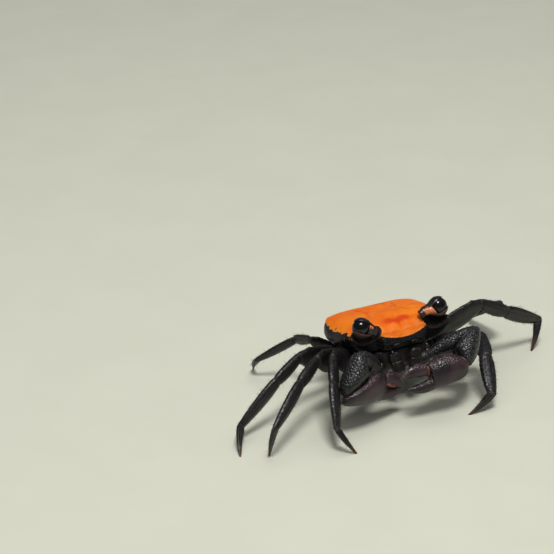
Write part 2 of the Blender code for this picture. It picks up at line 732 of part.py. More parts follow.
def build_leg(pose, collection, root_empty, root, material):
    """Build the merus, carpus, propodus and dactyl of one walking leg."""
    headings = leg_headings(pose, root)
    lengths = (MERUS[pose.pair], CARPUS[pose.pair], PROPODUS[pose.pair], DACTYL[pose.pair])
    joints = chain(root, headings, lengths)
    ring_sets = (MERUS_RINGS, CARPUS_RINGS, PROPODUS_RINGS, DACTYL_RINGS)
    names = ("merus", "carpus", "propodus", "dactyl")
    for index, name in enumerate(names):
        before = headings[index - 1] if index else headings[0]
        after = headings[index + 1] if index < 3 else None
        up = outer_side(headings, index)
        bow = DACTYL_BOW if name == "dactyl" else 0.0
        stout = LEG_STOUTNESS[pose.pair]
        rings = [
            Ring(ring.at, ring.high * stout, ring.wide * stout, ring.tooth * stout)
            for ring in ring_sets[index]
        ]
        mesh, frame = segment(
            joints[index], joints[index + 1], before, after, up, rings, LEG_SIDES, bow
        )
        if name == "dactyl":
            cut_at_floor(mesh, frame)
            round_off(mesh)
        node_name = "leg_{}_{}_{}".format(pose.side, pose.pair, name)
        add_node(node_name, mesh, material, collection, root_empty, frame)


def finger_mesh(rings, length, bow, teeth_up):
    """Return one finger of a claw along X with the places of its blunt teeth."""
    mesh = limb_mesh(length, rings, FINGER_SIDES, bow)
    places = []
    for share in FINGER_TEETH:
        lower = max((ring for ring in rings if ring.at <= share), key=lambda ring: ring.at)
        upper = min((ring for ring in rings if ring.at > share), key=lambda ring: ring.at)
        part = (share - lower.at) / (upper.at - lower.at)
        edge = lower.high + (upper.high - lower.high) * part - TOOTH_ROOT
        lift = bow * length * math.sin(math.pi * share)
        places.append(Vector((share * length, 0.0, lift + (edge if teeth_up else -edge))))
    return mesh, places


def tooth_mesh(up):
    """Return one blunt tooth that stands along Z."""
    shape = bmesh.new()
    bmesh.ops.create_cone(
        shape, cap_ends=True, segments=TOOTH_SIDES, radius1=TOOTH_RADIUS * MM,
        radius2=TOOTH_TIP_RADIUS * MM, depth=TOOTH_LENGTH * MM,
    )
    if not up:
        half_turn = Matrix.Rotation(math.pi, 3, "X")
        bmesh.ops.rotate(shape, verts=shape.verts, cent=(0.0, 0.0, 0.0), matrix=half_turn)
    mesh = bpy.data.meshes.new("tooth")
    shape.to_mesh(mesh)
    shape.free()
    return mesh


def build_claw(pose, collection, root_empty, root, arm_material, claw_material):
    """Build the merus, carpus, palm with its fixed finger, and moving finger of one claw."""
    headings = [direction(pose.side, *part) for part in (pose.merus, pose.carpus, pose.palm)]
    joints = chain(root, headings, (CLAW_MERUS, CLAW_CARPUS, PALM))
    up = Vector((0.0, 0.0, 1.0))
    for index, (name, rings) in enumerate((("merus", CLAW_MERUS_RINGS), ("carpus", CLAW_CARPUS_RINGS))):
        before = headings[0] if index == 0 else headings[index - 1]
        mesh, frame = segment(
            joints[index], joints[index + 1], before, headings[index + 1], up, rings, CLAW_SIDES
        )
        node_name = "claw_{}_{}".format(pose.side, name)
        add_node(node_name, mesh, arm_material, collection, root_empty, frame)
    roll = Matrix.Rotation(math.radians(pose.roll) * SIDE_SIGN[pose.side], 3, headings[2])
    palm_up = roll @ up
    mesh, frame = segment(joints[2], joints[3], headings[1], None, palm_up, PALM_RINGS, CLAW_SIDES)
    palm = add_node("claw_{}_palm".format(pose.side), mesh, claw_material, collection, root_empty, frame)
    palm_length = (joints[3] - frame.translation).length
    fixed, places = finger_mesh(FIXED_FINGER_RINGS, FIXED_FINGER, -FINGER_BOW, True)
    lean = Matrix.Rotation(math.radians(-FIXED_FINGER_LEAN), 4, "Y")
    fixed_frame = Matrix.Translation((palm_length - FIXED_FINGER_ROOT, 0.0, FIXED_FINGER_Z)) @ lean
    pieces = [(fixed, fixed_frame)]
    for place in places[1:]:
        pieces.append((tooth_mesh(True), fixed_frame @ Matrix.Translation(place)))
    fuse(palm, pieces)
    moving, places = finger_mesh(MOVING_FINGER_RINGS, MOVING_FINGER, FINGER_BOW, False)
    swing = Matrix.Rotation(math.radians(MOVING_FINGER_CLOSED - pose.opening), 4, "Y")
    hinge = Matrix.Translation((palm_length + FINGER_CLEARANCE, 0.0, MOVING_FINGER_Z))
    node_name = "claw_{}_finger".format(pose.side)
    finger = add_node(node_name, moving, claw_material, collection, root_empty, frame @ hinge @ swing)
    fuse(finger, [(tooth_mesh(False), Matrix.Translation(place)) for place in places])


def stand_on_floor(root_empty, collection):
    """Move the crab so that its bounding box stands over the origin."""
    bpy.context.view_layer.update()
    graph = bpy.context.evaluated_depsgraph_get()
    corners = []
    for node in collection.objects:
        if node.type == "MESH":
            shape = node.evaluated_get(graph)
            corners += [shape.matrix_world @ vertex.co for vertex in shape.data.vertices]
    middle_x = (min(p.x for p in corners) + max(p.x for p in corners)) / 2.0
    middle_y = (min(p.y for p in corners) + max(p.y for p in corners)) / 2.0
    root_empty.location = (-middle_x, -middle_y, -min(p.z for p in corners))


def main():
    """Build the crab."""
    clear_scene()
    crab = make_collection("vampire_crab")
    cutters = make_collection("cutters")
    shell = make_material("shell", (0.9, 0.23, 0.02), 0.45)
    dark = make_material("dark_shell", (0.02, 0.015, 0.018), 0.4)
    leg = make_material("leg_shell", (0.025, 0.018, 0.022), 0.4)
    claw = make_material("claw_shell", (0.09, 0.045, 0.06), 0.4)
    cornea = make_material("cornea", (0.01, 0.01, 0.01), 0.08)
    stalk = make_material("stalk", (0.75, 0.3, 0.18), 0.4)
    mouth = make_material("mouth", (0.1, 0.07, 0.035), 0.5)

    root_empty = bpy.data.objects.new("crab_root", None)
    crab.objects.link(root_empty)
    body = bpy.data.objects.new("body_frame", None)
    crab.objects.link(body)
    body.parent = root_empty
    stance = body_matrix()
    stance.translation *= MM
    body.matrix_basis = stance

    build_carapace(crab, cutters, body, shell)
    up = Vector((0.0, 0.0, 1.0))
    limbs = []
    for pose in LEG_POSES:
        root = body_matrix() @ mirrored(LEG_ROOTS[pose.pair], pose.side)
        build_leg(pose, crab, root_empty, root, leg)
        limbs.append((root, direction(pose.side, *pose.merus), up, COXA_RADIUS[pose.pair]))
    for pose in CLAW_POSES:
        root = body_matrix() @ mirrored(CLAW_ROOT, pose.side)
        build_claw(pose, crab, root_empty, root, leg, claw)
        limbs.append((root, direction(pose.side, *pose.merus), up, COXA_RADIUS[1]))
    bpy.context.view_layer.update()
    build_thorax(crab, body, dark, limbs)
    build_pleon(crab, body, dark)
    for side in SIDE_SIGN:
        build_eye(side, crab, body, cornea, stalk)
        build_mouth(side, crab, body, mouth)
        build_antenna(side, crab, body, dark)
    stand_on_floor(root_empty, crab)


main()
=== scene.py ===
"""The looks of a still, life-size vampire crab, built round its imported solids.

Every shell plate starts as a copy of the solid that it stands for. It is rounded,
remeshed finely and given its own relief: grooves, granules, pits and ridges. The
joints get their soft membranes, and the limbs and mouth plates their bristles.
Lengths are in millimetres unless a name says otherwise, and become metres where a
mesh is made. The frame of the body is the one that the solids are modelled in:
-Y is forward, the crab's own left is +X, and its origin is the middle of the
carapace at the height of its side margin.
"""

from __future__ import annotations

import json
import logging
import math
from collections.abc import Callable
from dataclasses import dataclass
from enum import Enum
from typing import ClassVar

import bmesh
import bpy
import numpy as np
from mathutils import Euler, Matrix, Vector, noise
from mathutils.kdtree import KDTree

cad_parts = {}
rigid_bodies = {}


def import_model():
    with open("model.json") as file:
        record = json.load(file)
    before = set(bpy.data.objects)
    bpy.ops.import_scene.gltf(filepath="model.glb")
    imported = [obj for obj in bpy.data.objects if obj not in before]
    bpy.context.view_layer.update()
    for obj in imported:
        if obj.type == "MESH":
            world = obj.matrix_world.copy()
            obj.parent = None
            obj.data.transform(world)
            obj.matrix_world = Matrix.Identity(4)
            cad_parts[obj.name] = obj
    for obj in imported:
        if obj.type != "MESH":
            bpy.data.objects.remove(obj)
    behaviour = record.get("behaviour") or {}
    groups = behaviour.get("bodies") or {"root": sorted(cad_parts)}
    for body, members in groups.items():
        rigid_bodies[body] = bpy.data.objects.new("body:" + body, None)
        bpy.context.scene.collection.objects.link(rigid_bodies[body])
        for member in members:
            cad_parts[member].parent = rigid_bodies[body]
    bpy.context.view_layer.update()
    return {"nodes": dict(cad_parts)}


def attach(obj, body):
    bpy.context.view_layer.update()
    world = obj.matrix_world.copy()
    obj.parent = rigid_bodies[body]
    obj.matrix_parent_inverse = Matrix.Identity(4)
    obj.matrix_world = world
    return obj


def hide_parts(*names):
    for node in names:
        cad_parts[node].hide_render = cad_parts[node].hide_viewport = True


MM = 0.001
BODY_ORIGIN = (-0.67, -1.78, 11.7)
BODY_NOSE_UP = 14.5
BODY_LEFT_UP = 3.5
SIDE_SIGN = {"left": 1.0, "right": -1.0}
STALK_LIFT = {"left": 1.1, "right": 0.0}
LEG_PAIRS = (2, 3, 4, 5)
SEED = 11
BAKE_MAP = "OFBake"
BAKE_PATCH = 0.003
BAKE_REACH = 0.48
BAKE_ROUND = 0.99
ROUNDING_STEPS = 3
ROUNDING_SHARE = 0.8
CREASE_ANGLE = 48.0
CLOSEST_SHARE = 0.72
BARE_BELOW = 0.15
GRAIN_SIZES = (0.65, 1.15)
GRAIN_SHARPNESS = 1.4
RIM_DEPTH = 0.25
FOLD_HEIGHT = 0.04
FOLD_PITCH = 0.11
BRISTLE_LENGTHS = (0.6, 1.15)
BRISTLE_STRAY = 0.12
BRISTLE_BEND = 0.18
BRISTLE_SUNK = 0.05
BRISTLE_JOINT = 0.55
BRISTLY_ABOVE = 0.5

log = logging.getLogger("vampire_crab")

Array = np.ndarray
Thing = bpy.types.Object
Mesh = bpy.types.Mesh
Socket = bpy.types.NodeSocket
Material = bpy.types.Material
Colour = tuple[float, float, float]
Mask = Callable[[Array, Array], Array]
Shape = tuple[Array, list[tuple[int, ...]]]
Solids = dict[str, Thing]
Plates = list[tuple[Thing, Array]]


class Slot(Enum):
    """The record's material slots."""

    SHELL = "shell"
    UNDERSIDE = "underside"
    LEG = "leg_shell"
    CLAW = "claw_shell"
    CORNEA = "cornea"
    STALK = "stalk"
    MOUTH = "mouth"


def body_matrix() -> Matrix:
    """Return the matrix from the frame of the body, in millimetres, to the world, in metres."""
    turn = Euler((-math.radians(BODY_NOSE_UP), -math.radians(BODY_LEFT_UP), 0.0))
    place = Matrix.Translation(Vector(BODY_ORIGIN) * MM)
    return place @ turn.to_matrix().to_4x4() @ Matrix.Scale(MM, 4)


def to_body(points: Array) -> Array:
    """Return points of the world, in metres, in the frame of the body, in millimetres."""
    inward = np.array(body_matrix().inverted())
    return points @ inward[:3, :3].T + inward[:3, 3]


def to_world(points: Array) -> Array:
    """Return points of the body's frame, in millimetres, in the world, in metres."""
    outward = np.array(body_matrix())
    return points @ outward[:3, :3].T + outward[:3, 3]


def bell(values: Array, width: float) -> Array:
    """Return 1 where values are 0, falling off to both sides over a width."""
    return np.exp(-((values / width) ** 2))


def mound(x: Array, y: Array, centre: tuple[float, float], half: tuple[float, float]) -> Array:
    """Return 1 at a centre, falling off over a half width in x and one in y."""
    return np.exp(-(((x - centre[0]) / half[0]) ** 2) - ((y - centre[1]) / half[1]) ** 2)


def everywhere(share: float) -> Mask:
    """Return a mask that gives every point the same share."""
    return lambda points, facing: np.full(len(points), share)


def soft_step(low: float, high: float, values: Array) -> Array:
    """Return 0 below low, 1 above high and a smooth step between."""
    share = np.clip((values - low) / (high - low), 0.0, 1.0)
    return share * share * (3.0 - 2.0 * share)


# Meshes


def activate(piece: Thing) -> None:
    """Select one object alone and make it the active one.

    Args:
        piece: the object.
    """
    bpy.ops.object.select_all(action="DESELECT")
    piece.select_set(True)
    bpy.context.view_layer.objects.active = piece


def apply_modifier(piece: Thing, kind: str, **settings: object) -> None:
    """Add a modifier with the given settings and apply it.

    Args:
        piece: the object.
        kind: the modifier's type.
        settings: its properties, by name.
    """
    modifier = piece.modifiers.new(kind.lower(), kind)
    for name, value in settings.items():
        setattr(modifier, name, value)
    activate(piece)
    bpy.ops.object.modifier_apply(modifier=modifier.name)


def coordinates(mesh: Mesh) -> Array:
    """Return a mesh's vertices as an array of points, in metres.

    Args:
        mesh: the mesh.

    Returns:
        One row for each vertex.
    """
    values = np.empty(len(mesh.vertices) * 3)
    mesh.vertices.foreach_get("co", values)
    return values.reshape(-1, 3)


def normals(mesh: Mesh) -> Array:
    """Return a mesh's vertex normals as an array.

    Args:
        mesh: the mesh.

    Returns:
        One row for each vertex.
    """
    values = np.empty(len(mesh.vertices) * 3)
    mesh.vertex_normals.foreach_get("vector", values)
    return values.reshape(-1, 3)


def move_to(piece: Thing, points: Array) -> None:
    """Set the places of a piece's vertices, in metres."""
    piece.data.vertices.foreach_set("co", points.ravel())
    piece.data.update()


def raise_skin(piece: Thing, heights: Array) -> None:
    """Move each vertex along its normal by its height, in millimetres."""
    move_to(piece, coordinates(piece.data) + normals(piece.data) * heights[:, None] * MM)


def store(mesh: Mesh, name: str, values: Array) -> None:
    """Keep one number for each vertex as an attribute that materials read."""
    attribute = mesh.attributes.get(name) or mesh.attributes.new(name, "FLOAT", "POINT")
    attribute.data.foreach_set("value", values.astype(np.float32))


def copy_of_solid(name: str, node: Thing) -> Thing:
    """Return a new object with a merged copy of a solid's mesh, free of its parent.

    Args:
        name: its name.
        node: the solid's object.

    Returns:
        The new object, at the origin.
    """
    piece = bpy.data.objects.new(name, node.data.copy())
    piece.data.name = name
    bpy.context.scene.collection.objects.link(piece)
    activate(piece)
    bpy.ops.object.mode_set(mode="EDIT")
    bpy.ops.mesh.select_all(action="SELECT")
    bpy.ops.mesh.remove_doubles(threshold=0.000001)
    bpy.ops.mesh.tris_convert_to_quads(face_threshold=math.radians(30), shape_threshold=math.radians(50))
    bpy.ops.object.mode_set(mode="OBJECT")
    return piece


def crease_edges(mesh: Mesh, angle: float, amount: float) -> None:
    """Crease the edges that bend more than an angle, in degrees.

    Args:
        mesh: the mesh to mark.
        angle: the least bend, in degrees.
        amount: how firm the crease is, from 0 to 1.
    """
    shape = bmesh.new()
    shape.from_mesh(mesh)
    layer = shape.edges.layers.float.get("crease_edge") or shape.edges.layers.float.new("crease_edge")
    for edge in shape.edges:
        if edge.is_manifold and edge.calc_face_angle() > math.radians(angle):
            edge[layer] = amount
    shape.to_mesh(mesh)
    shape.free()


def subdivide(piece: Thing, levels: int) -> None:
    """Round a coarse mesh so that its surface still passes through its own corners.

    Args:
        piece: the object with the coarse mesh.
        levels: how often it is subdivided.
    """
    target = coordinates(piece.data)
    modifier = piece.modifiers.new("rounding", "SUBSURF")
    modifier.levels = modifier.render_levels = levels
    for _ in range(ROUNDING_STEPS):
        rounded = piece.evaluated_get(bpy.context.evaluated_depsgraph_get()).data
        missing = target - coordinates(rounded)[: len(target)]
        move_to(piece, coordinates(piece.data) + missing * ROUNDING_SHARE)
    activate(piece)
    bpy.ops.object.modifier_apply(modifier=modifier.name)


def drop_scraps(piece: Thing) -> None:
    """Keep only the largest closed surface of a piece.

    Args:
        piece: the piece, whose mesh may change.
    """
    activate(piece)
    others = set(bpy.data.objects)
    bpy.ops.mesh.separate(type="LOOSE")
    scraps = [part for part in bpy.data.objects if part not in others]
    largest = max([piece, *scraps], key=lambda part: len(part.data.vertices))
    if largest is not piece:
        piece.data, largest.data = largest.data, piece.data
    for scrap in scraps:
        bpy.data.objects.remove(scrap)


def rounded_solid(
    name: str, node: Thing, voxel: float, crease: float = 0.75, smoothing: int = 4, levels: int = 2
) -> Thing:
    """Return a finely meshed, rounded copy of a solid.

    Args:
        name: the new piece's name.
        node: the solid's object.
        voxel: the mesh's fineness, in millimetres.
        crease: how firmly the edges of end faces are held.
        smoothing: how often the fine mesh is relaxed.
        levels: how often the coarse mesh is subdivided first.

    Returns:
        The new object, at the origin.
    """
    piece = copy_of_solid(name, node)
    crease_edges(piece.data, CREASE_ANGLE, crease)
    subdivide(piece, levels)
    apply_modifier(piece, "REMESH", mode="VOXEL", voxel_size=voxel * MM)
    drop_scraps(piece)
    apply_modifier(piece, "SMOOTH", factor=0.5, iterations=smoothing)
    piece.data.shade_smooth()
    return piece


def tree_of(points: Array) -> KDTree:
    """Return a search tree of points.

    Args:
        points: the points.

    Returns:
        The tree, ready to search.
    """
    tree = KDTree(len(points))
    for index, point in enumerate(points):
        tree.insert(point, index)
    tree.balance()
    return tree


def scatter(points: Array, spacing: float, rng: np.random.Generator) -> Array:
    """Return the indices of points that keep about a spacing, in metres, from each other.

    Args:
        points: the points to choose from.
        spacing: the distance to keep.
        rng: the random numbers.

    Returns:
        The indices of the chosen points.
    """
    order = rng.permutation(len(points))
    cells = np.floor(points[order] / spacing).astype(int)
    _, first = np.unique(cells, axis=0, return_index=True)
    picked = order[np.sort(first)]
    tree = tree_of(points[picked])
    kept = np.ones(len(picked), bool)
    for index, point in enumerate(points[picked]):
        if kept[index]:
            for _, other, _ in tree.find_range(point, spacing * CLOSEST_SHARE):
                if other > index:
                    kept[other] = False
    return picked[kept]


@dataclass(frozen=True)
class Granules:
    """Low round grains, or with a height below zero pits, spread over a surface."""

    spacing: float
    radius: float
    height: float
    mask: Mask
    seed: int = SEED

    def heights(self, points: Array, facing: Array) -> tuple[Array, Array]:
        """Return each vertex's height and its share of a grain.

        Args:
            points: the vertices, in metres.
            facing: their normals.

        Returns:
            The heights, in millimetres, and the shares from 0 to 1.
        """
        rng = np.random.default_rng(self.seed)
        weight = self.mask(points, facing)
        where = np.nonzero(weight > BARE_BELOW)[0]
        if not len(where):
            return np.zeros(len(points)), np.zeros(len(points))
        seeds = where[scatter(points[where], self.spacing * MM, rng)]
        sizes = self.radius * rng.uniform(*GRAIN_SIZES, len(seeds)) * MM
        tree = tree_of(points[seeds])
        share = np.zeros(len(points))
        for index in where:
            _, nearest, distance = tree.find(points[index])
            share[index] = max(0.0, 1.0 - (distance / sizes[nearest]) ** 2)
        share = share ** GRAIN_SHARPNESS * np.clip(weight, 0.0, 1.0)
        return share * self.height, share


def granulate(piece: Thing, *layers: Granules) -> None:
    """Raise layers of granules on a piece and keep their share as an attribute, which the finishes read to
    paint a highlight on the grains' tops.

    Args:
        piece: the piece.
        layers: the sorts of grain or pit.
    """
    points, facing = coordinates(piece.data), normals(piece.data)
    total = np.zeros(len(points))
    grain_glint = np.zeros(len(points))
    for layer in layers:
        heights, share = layer.heights(points, facing)
        total += heights
        grain_glint = np.maximum(grain_glint, share if layer.height > 0.0 else 0.0)
    raise_skin(piece, total)
    # The grains' share marks where the finishes paint a highlight on the grains' tops.
    store(piece.data, "grain_glint", grain_glint)


def unit_ball(name: str, segments: int, rings: int) -> Thing:
    """Return a new ball with a radius of 1.

    Args:
        name: its name.
        segments: how many faces go round it.
        rings: how many go from pole to pole.

    Returns:
        The new object, at the origin.
    """
    bpy.ops.object.select_all(action="DESELECT")
    bpy.ops.mesh.primitive_uv_sphere_add(segments=segments, ring_count=rings, radius=1.0)
    bpy.context.object.name = name
    return bpy.context.object


def principal_axes(points: Array) -> tuple[Array, Array, Array]:
    """Return the centre of points, their three axes as rows, longest first, and their half lengths.

    Args:
        points: the points.

    Returns:
        The middle of the points' extent, the axes and the half lengths.
    """
    centre = points.mean(0)
    _, vectors = np.linalg.eigh(np.cov((points - centre).T))
    axes = vectors[:, ::-1].T
    along = (points - centre) @ axes.T
    middle = (along.max(0) + along.min(0)) / 2.0
    return centre + middle @ axes, axes, (along.max(0) - along.min(0)) / 2.0


def facing_rims(first: Thing, second: Thing) -> Array:
    """Return the points of two neighbouring solids that face each other across their gap.

    Args:
        first: the solid on one side.
        second: the solid on the other side.

    Returns:
        The points, in metres.
    """
    one, two = coordinates(first.data), coordinates(second.data)
    pairs = np.linalg.norm(one[:, None, :] - two[None, :, :], axis=2)
    limit = pairs.min() + RIM_DEPTH * MM
    return np.vstack((one[pairs.min(1) < limit], two[pairs.min(0) < limit]))


def membrane(name: str, first: Thing, second: Thing, swell: float) -> Thing:
    """Return the folded skin that closes the gap between two shell plates.

    Args:
        name: the piece's name.
        first: the solid on one side.
        second: the solid on the other side.
        swell: the skin's reach, as a share of the rims' own size.

    Returns:
        A flattened, ringed cushion that fills the gap.
    """
    centre, axes, half = principal_axes(facing_rims(first, second))
    piece = unit_ball(name, 28, 18)
    turn = Matrix([[*axes[row], 0.0] for row in range(3)] + [[0.0, 0.0, 0.0, 1.0]]).transposed()
    reach = [half[0] * swell, half[1] * swell, max(half[2], 0.5 * half[1])]
    piece.data.transform(Matrix.Translation(centre) @ turn @ Matrix.Diagonal((*reach, 1.0)))
    if turn.determinant() < 0.0:
        piece.data.flip_normals()
    depth = (coordinates(piece.data) - centre) @ axes[2]
    raise_skin(piece, FOLD_HEIGHT * np.sin(depth / (FOLD_PITCH * MM)))
    piece.data.shade_smooth()
    return piece


# Bristles


@dataclass(frozen=True)
class Bristles:
    """Short stiff hairs of one kind, rooted on a plate."""

    spacing: float
    length: float
    radius: float
    lean: float
    mask: Mask
    seed: int = SEED

    def one_bristle(self) -> Shape:
        """Return the vertices and faces of one bent bristle of unit length that stands along Z."""
        bpy.ops.object.select_all(action="DESELECT")
        bpy.ops.mesh.primitive_cone_add(
            vertices=3, radius1=1.0, radius2=0.0, depth=1.0, location=(0.0, 0.0, 0.5)
        )
        hair = bpy.context.object
        bpy.ops.object.transform_apply()
        bpy.ops.object.mode_set(mode="EDIT")
        bpy.ops.mesh.select_all(action="SELECT")
        bpy.ops.mesh.bisect(plane_co=(0.0, 0.0, BRISTLE_JOINT), plane_no=(0.0, 0.0, 1.0))
        bpy.ops.object.mode_set(mode="OBJECT")
        points = coordinates(hair.data)
        faces = [tuple(face.vertices) for face in hair.data.polygons]
        bpy.data.objects.remove(hair, do_unlink=True)
        return points, faces

    def grow(self, plates: Plates, shape: Shape) -> tuple[Array, list[tuple[int, ...]], Array]:
        """Return the vertices, faces and bake places of the bristles on some plates.

        Args:
            plates: each plate with the direction in which its bristles lean.
            shape: the one bristle that is copied.

        Returns:
            The vertices in metres, the faces, and each vertex's place on the unwrap.
        """
        rng = np.random.default_rng(self.seed)
        model, model_faces = shape
        vertices, faces, places = [], [], []
        for row, (plate, along) in enumerate(plates):
            points, facing = coordinates(plate.data), normals(plate.data)
            where = np.nonzero(self.mask(points, facing) > BRISTLY_ABOVE)[0]
            if not len(where):
                continue
            roots = where[scatter(points[where], self.spacing * MM, rng)]
            centre, axes, half = principal_axes(points)
            for root in roots:
                stray = rng.normal(0.0, BRISTLE_STRAY, 3)
                stand = Vector(facing[root] + along * self.lean + stray).normalized()
                turn = np.array(stand.to_track_quat("Z", "X").to_matrix())
                length = self.length * rng.uniform(*BRISTLE_LENGTHS) * MM
                size = np.array((self.radius * MM, self.radius * MM, length))
                bent = model * size
                bent[:, 0] += (model[:, 2] ** 2) * length * BRISTLE_BEND
                hair = bent @ turn.T + points[root] - facing[root] * BRISTLE_SUNK * MM
                base = sum(len(block) for block in vertices)
                vertices.append(hair)
                faces += [tuple(base + corner for corner in face) for face in model_faces]
                local = (points[root] - centre) @ axes.T / half
                angle = math.atan2(local[2], local[1]) / math.tau + 0.5
                place = np.array(((row + 0.5 + BAKE_REACH * local[0]) / len(plates), angle * BAKE_ROUND))
                places.append(place + model[:, :2] * 0.5 * BAKE_PATCH)
        if not vertices:
            return np.zeros((0, 3)), [], np.zeros((0, 2))
        return np.vstack(vertices), faces, np.vstack(places)


def bristle_coat(name: str, plates: Plates, kinds: list[Bristles]) -> Thing:
    """Return one piece with all bristles of some plates, and its bake map.

    Args:
        name: the piece's name.
        plates: each plate with the direction in which its bristles lean.
        kinds: the sorts of bristle that grow on them.

    Returns:
        The new object.
    """
    shape = kinds[0].one_bristle()
    vertices, faces, places = [], [], []
    for kind in kinds:
        points, polygons, flat = kind.grow(plates, shape)
        base = sum(len(block) for block in vertices)
        vertices.append(points)
        places.append(flat)
        faces += [tuple(base + corner for corner in face) for face in polygons]
    mesh = bpy.data.meshes.new(name)
    mesh.from_pydata(np.vstack(vertices).tolist(), [], faces)
    chart = mesh.uv_layers.new(name=BAKE_MAP)
    corners = np.empty(len(mesh.loops), int)
    mesh.loops.foreach_get("vertex_index", corners)
    chart.uv.foreach_set("vector", np.clip(np.vstack(places)[corners], 0.0, 1.0).ravel())
    mesh.shade_smooth()
    piece = bpy.data.objects.new(name, mesh)
    bpy.context.scene.collection.objects.link(piece)
    return piece


# Finishes


class Bench:
    """A workbench for the nodes of one material."""

    def __init__(self, name: str) -> None:
        """Start a material with its Principled shader."""
        self.material = bpy.data.materials.new(name)
        self.material.use_nodes = True
        self.tree = self.material.node_tree
        self.shader = self.tree.nodes["Principled BSDF"]
        self.place = self.tree.nodes.new("ShaderNodeTexCoord").outputs["Object"]

    def join(self, source: Socket | float | Colour, target: Socket) -> None:
        """Link a socket to another, or set it to a number or a colour.

        Args:
            source: the other socket, the number or the colour.
            target: the socket that takes it.
        """
        if isinstance(source, Socket):
            self.tree.links.new(source, target)
        elif isinstance(source, tuple):
            target.default_value = (*source, 1.0)
        else:
            target.default_value = source

    def noise(self, scale: float, detail: float = 4.0, roughness: float = 0.55) -> Socket:
        """Return a cloudy pattern with a number of features in each metre.

        Args:
            scale: the number of features.
            detail: how many finer layers are added.
            roughness: how strong those are.

        Returns:
            The pattern, from 0 to 1.
        """
        node = self.tree.nodes.new("ShaderNodeTexNoise")
        node.inputs["Scale"].default_value = scale
        node.inputs["Detail"].default_value = detail
        node.inputs["Roughness"].default_value = roughness
        self.tree.links.new(self.place, node.inputs["Vector"])
        return node.outputs["Fac"]

    def cells(self, scale: float, edges: bool = False) -> Socket:
        """Return the distance to the nearest cell's middle, or to its edge.

        Args:
            scale: the number of cells in each metre.
            edges: whether it is the distance to the edge.

        Returns:
            The distance, as a share of a cell.
        """
        node = self.tree.nodes.new("ShaderNodeTexVoronoi")
        node.feature = "DISTANCE_TO_EDGE" if edges else "F1"
        node.inputs["Scale"].default_value = scale
        self.tree.links.new(self.place, node.inputs["Vector"])
        return node.outputs["Distance"]

    def attribute(self, name: str) -> Socket:
        """Return a number that the mesh keeps for each vertex.

        Args:
            name: the attribute's name.

        Returns:
            The number.
        """
        node = self.tree.nodes.new("ShaderNodeAttribute")
        node.attribute_name = name
        return node.outputs["Fac"]

    def steps(self, value: Socket, low: float, high: float, first: float = 0.0, last: float = 1.0) -> Socket:
        """Return a value that goes smoothly from first to last between low and high.

        Args:
            value: the value that is read.
            low: where the step starts.
            high: where it ends.
            first: the result below low.
            last: the result above high.

        Returns:
            The new value.
        """
        node = self.tree.nodes.new("ShaderNodeMapRange")
        node.interpolation_type = "SMOOTHSTEP"
        for name, number in (("From Min", low), ("From Max", high), ("To Min", first), ("To Max", last)):
            node.inputs[name].default_value = number
        self.tree.links.new(value, node.inputs["Value"])
        return node.outputs["Result"]

    def total(self, first: Socket, second: Socket) -> Socket:
        """Return the sum of two numbers.

        Args:
            first: one number.
            second: the other.

        Returns:
            The sum.
        """
        node = self.tree.nodes.new("ShaderNodeMath")
        node.operation = "ADD"
        self.join(first, node.inputs[0])
        self.join(second, node.inputs[1])
        return node.outputs[0]

    def mix(self, share: Socket, first: Socket | Colour, second: Socket | Colour) -> Socket:
        """Return the first colour where the share is 0 and the second where it is 1.

        Args:
            share: the second colour's share.
            first: the first colour.
            second: the second colour.

        Returns:
            The mixed colour.
        """
        node = self.tree.nodes.new("ShaderNodeMix")
        node.data_type = "RGBA"
        self.tree.links.new(share, node.inputs["Factor"])
        self.join(first, node.inputs[6])
        self.join(second, node.inputs[7])
        return node.outputs[2]

    def bump(self, height: Socket, depth: float, strength: float = 1.0) -> None:
        """Add relief of a depth in millimetres on top of what the shader already has.

        Args:
            height: the pattern that is raised.
            depth: how high it is.
            strength: how strongly it shows.
        """
        node = self.tree.nodes.new("ShaderNodeBump")
        node.inputs["Strength"].default_value = strength
        node.inputs["Distance"].default_value = depth * MM
        self.tree.links.new(height, node.inputs["Height"])
        earlier = self.shader.inputs["Normal"]
        if earlier.is_linked:
            self.tree.links.new(earlier.links[0].from_socket, node.inputs["Normal"])
        self.tree.links.new(node.outputs["Normal"], earlier)

    def finish(
        self,
        colour: Socket,
        roughness: Socket | float,
        coat: float = 0.0,
        coat_roughness: float = 0.1,
        specular: float = 0.5,
    ) -> Material:
        """Set the shader's main sockets and return the material.

        Args:
            colour: the base colour.
            roughness: how matt it is.
            coat: the share of the wet coat.
            coat_roughness: how matt the coat is.
            specular: how strongly the base mirrors.

        Returns:
            The finished material.
        """
        self.join(colour, self.shader.inputs["Base Color"])
        self.join(roughness, self.shader.inputs["Roughness"])
        self.shader.inputs["Coat Weight"].default_value = coat
        self.shader.inputs["Coat Roughness"].default_value = coat_roughness
        self.shader.inputs["Specular IOR Level"].default_value = specular
        return self.material


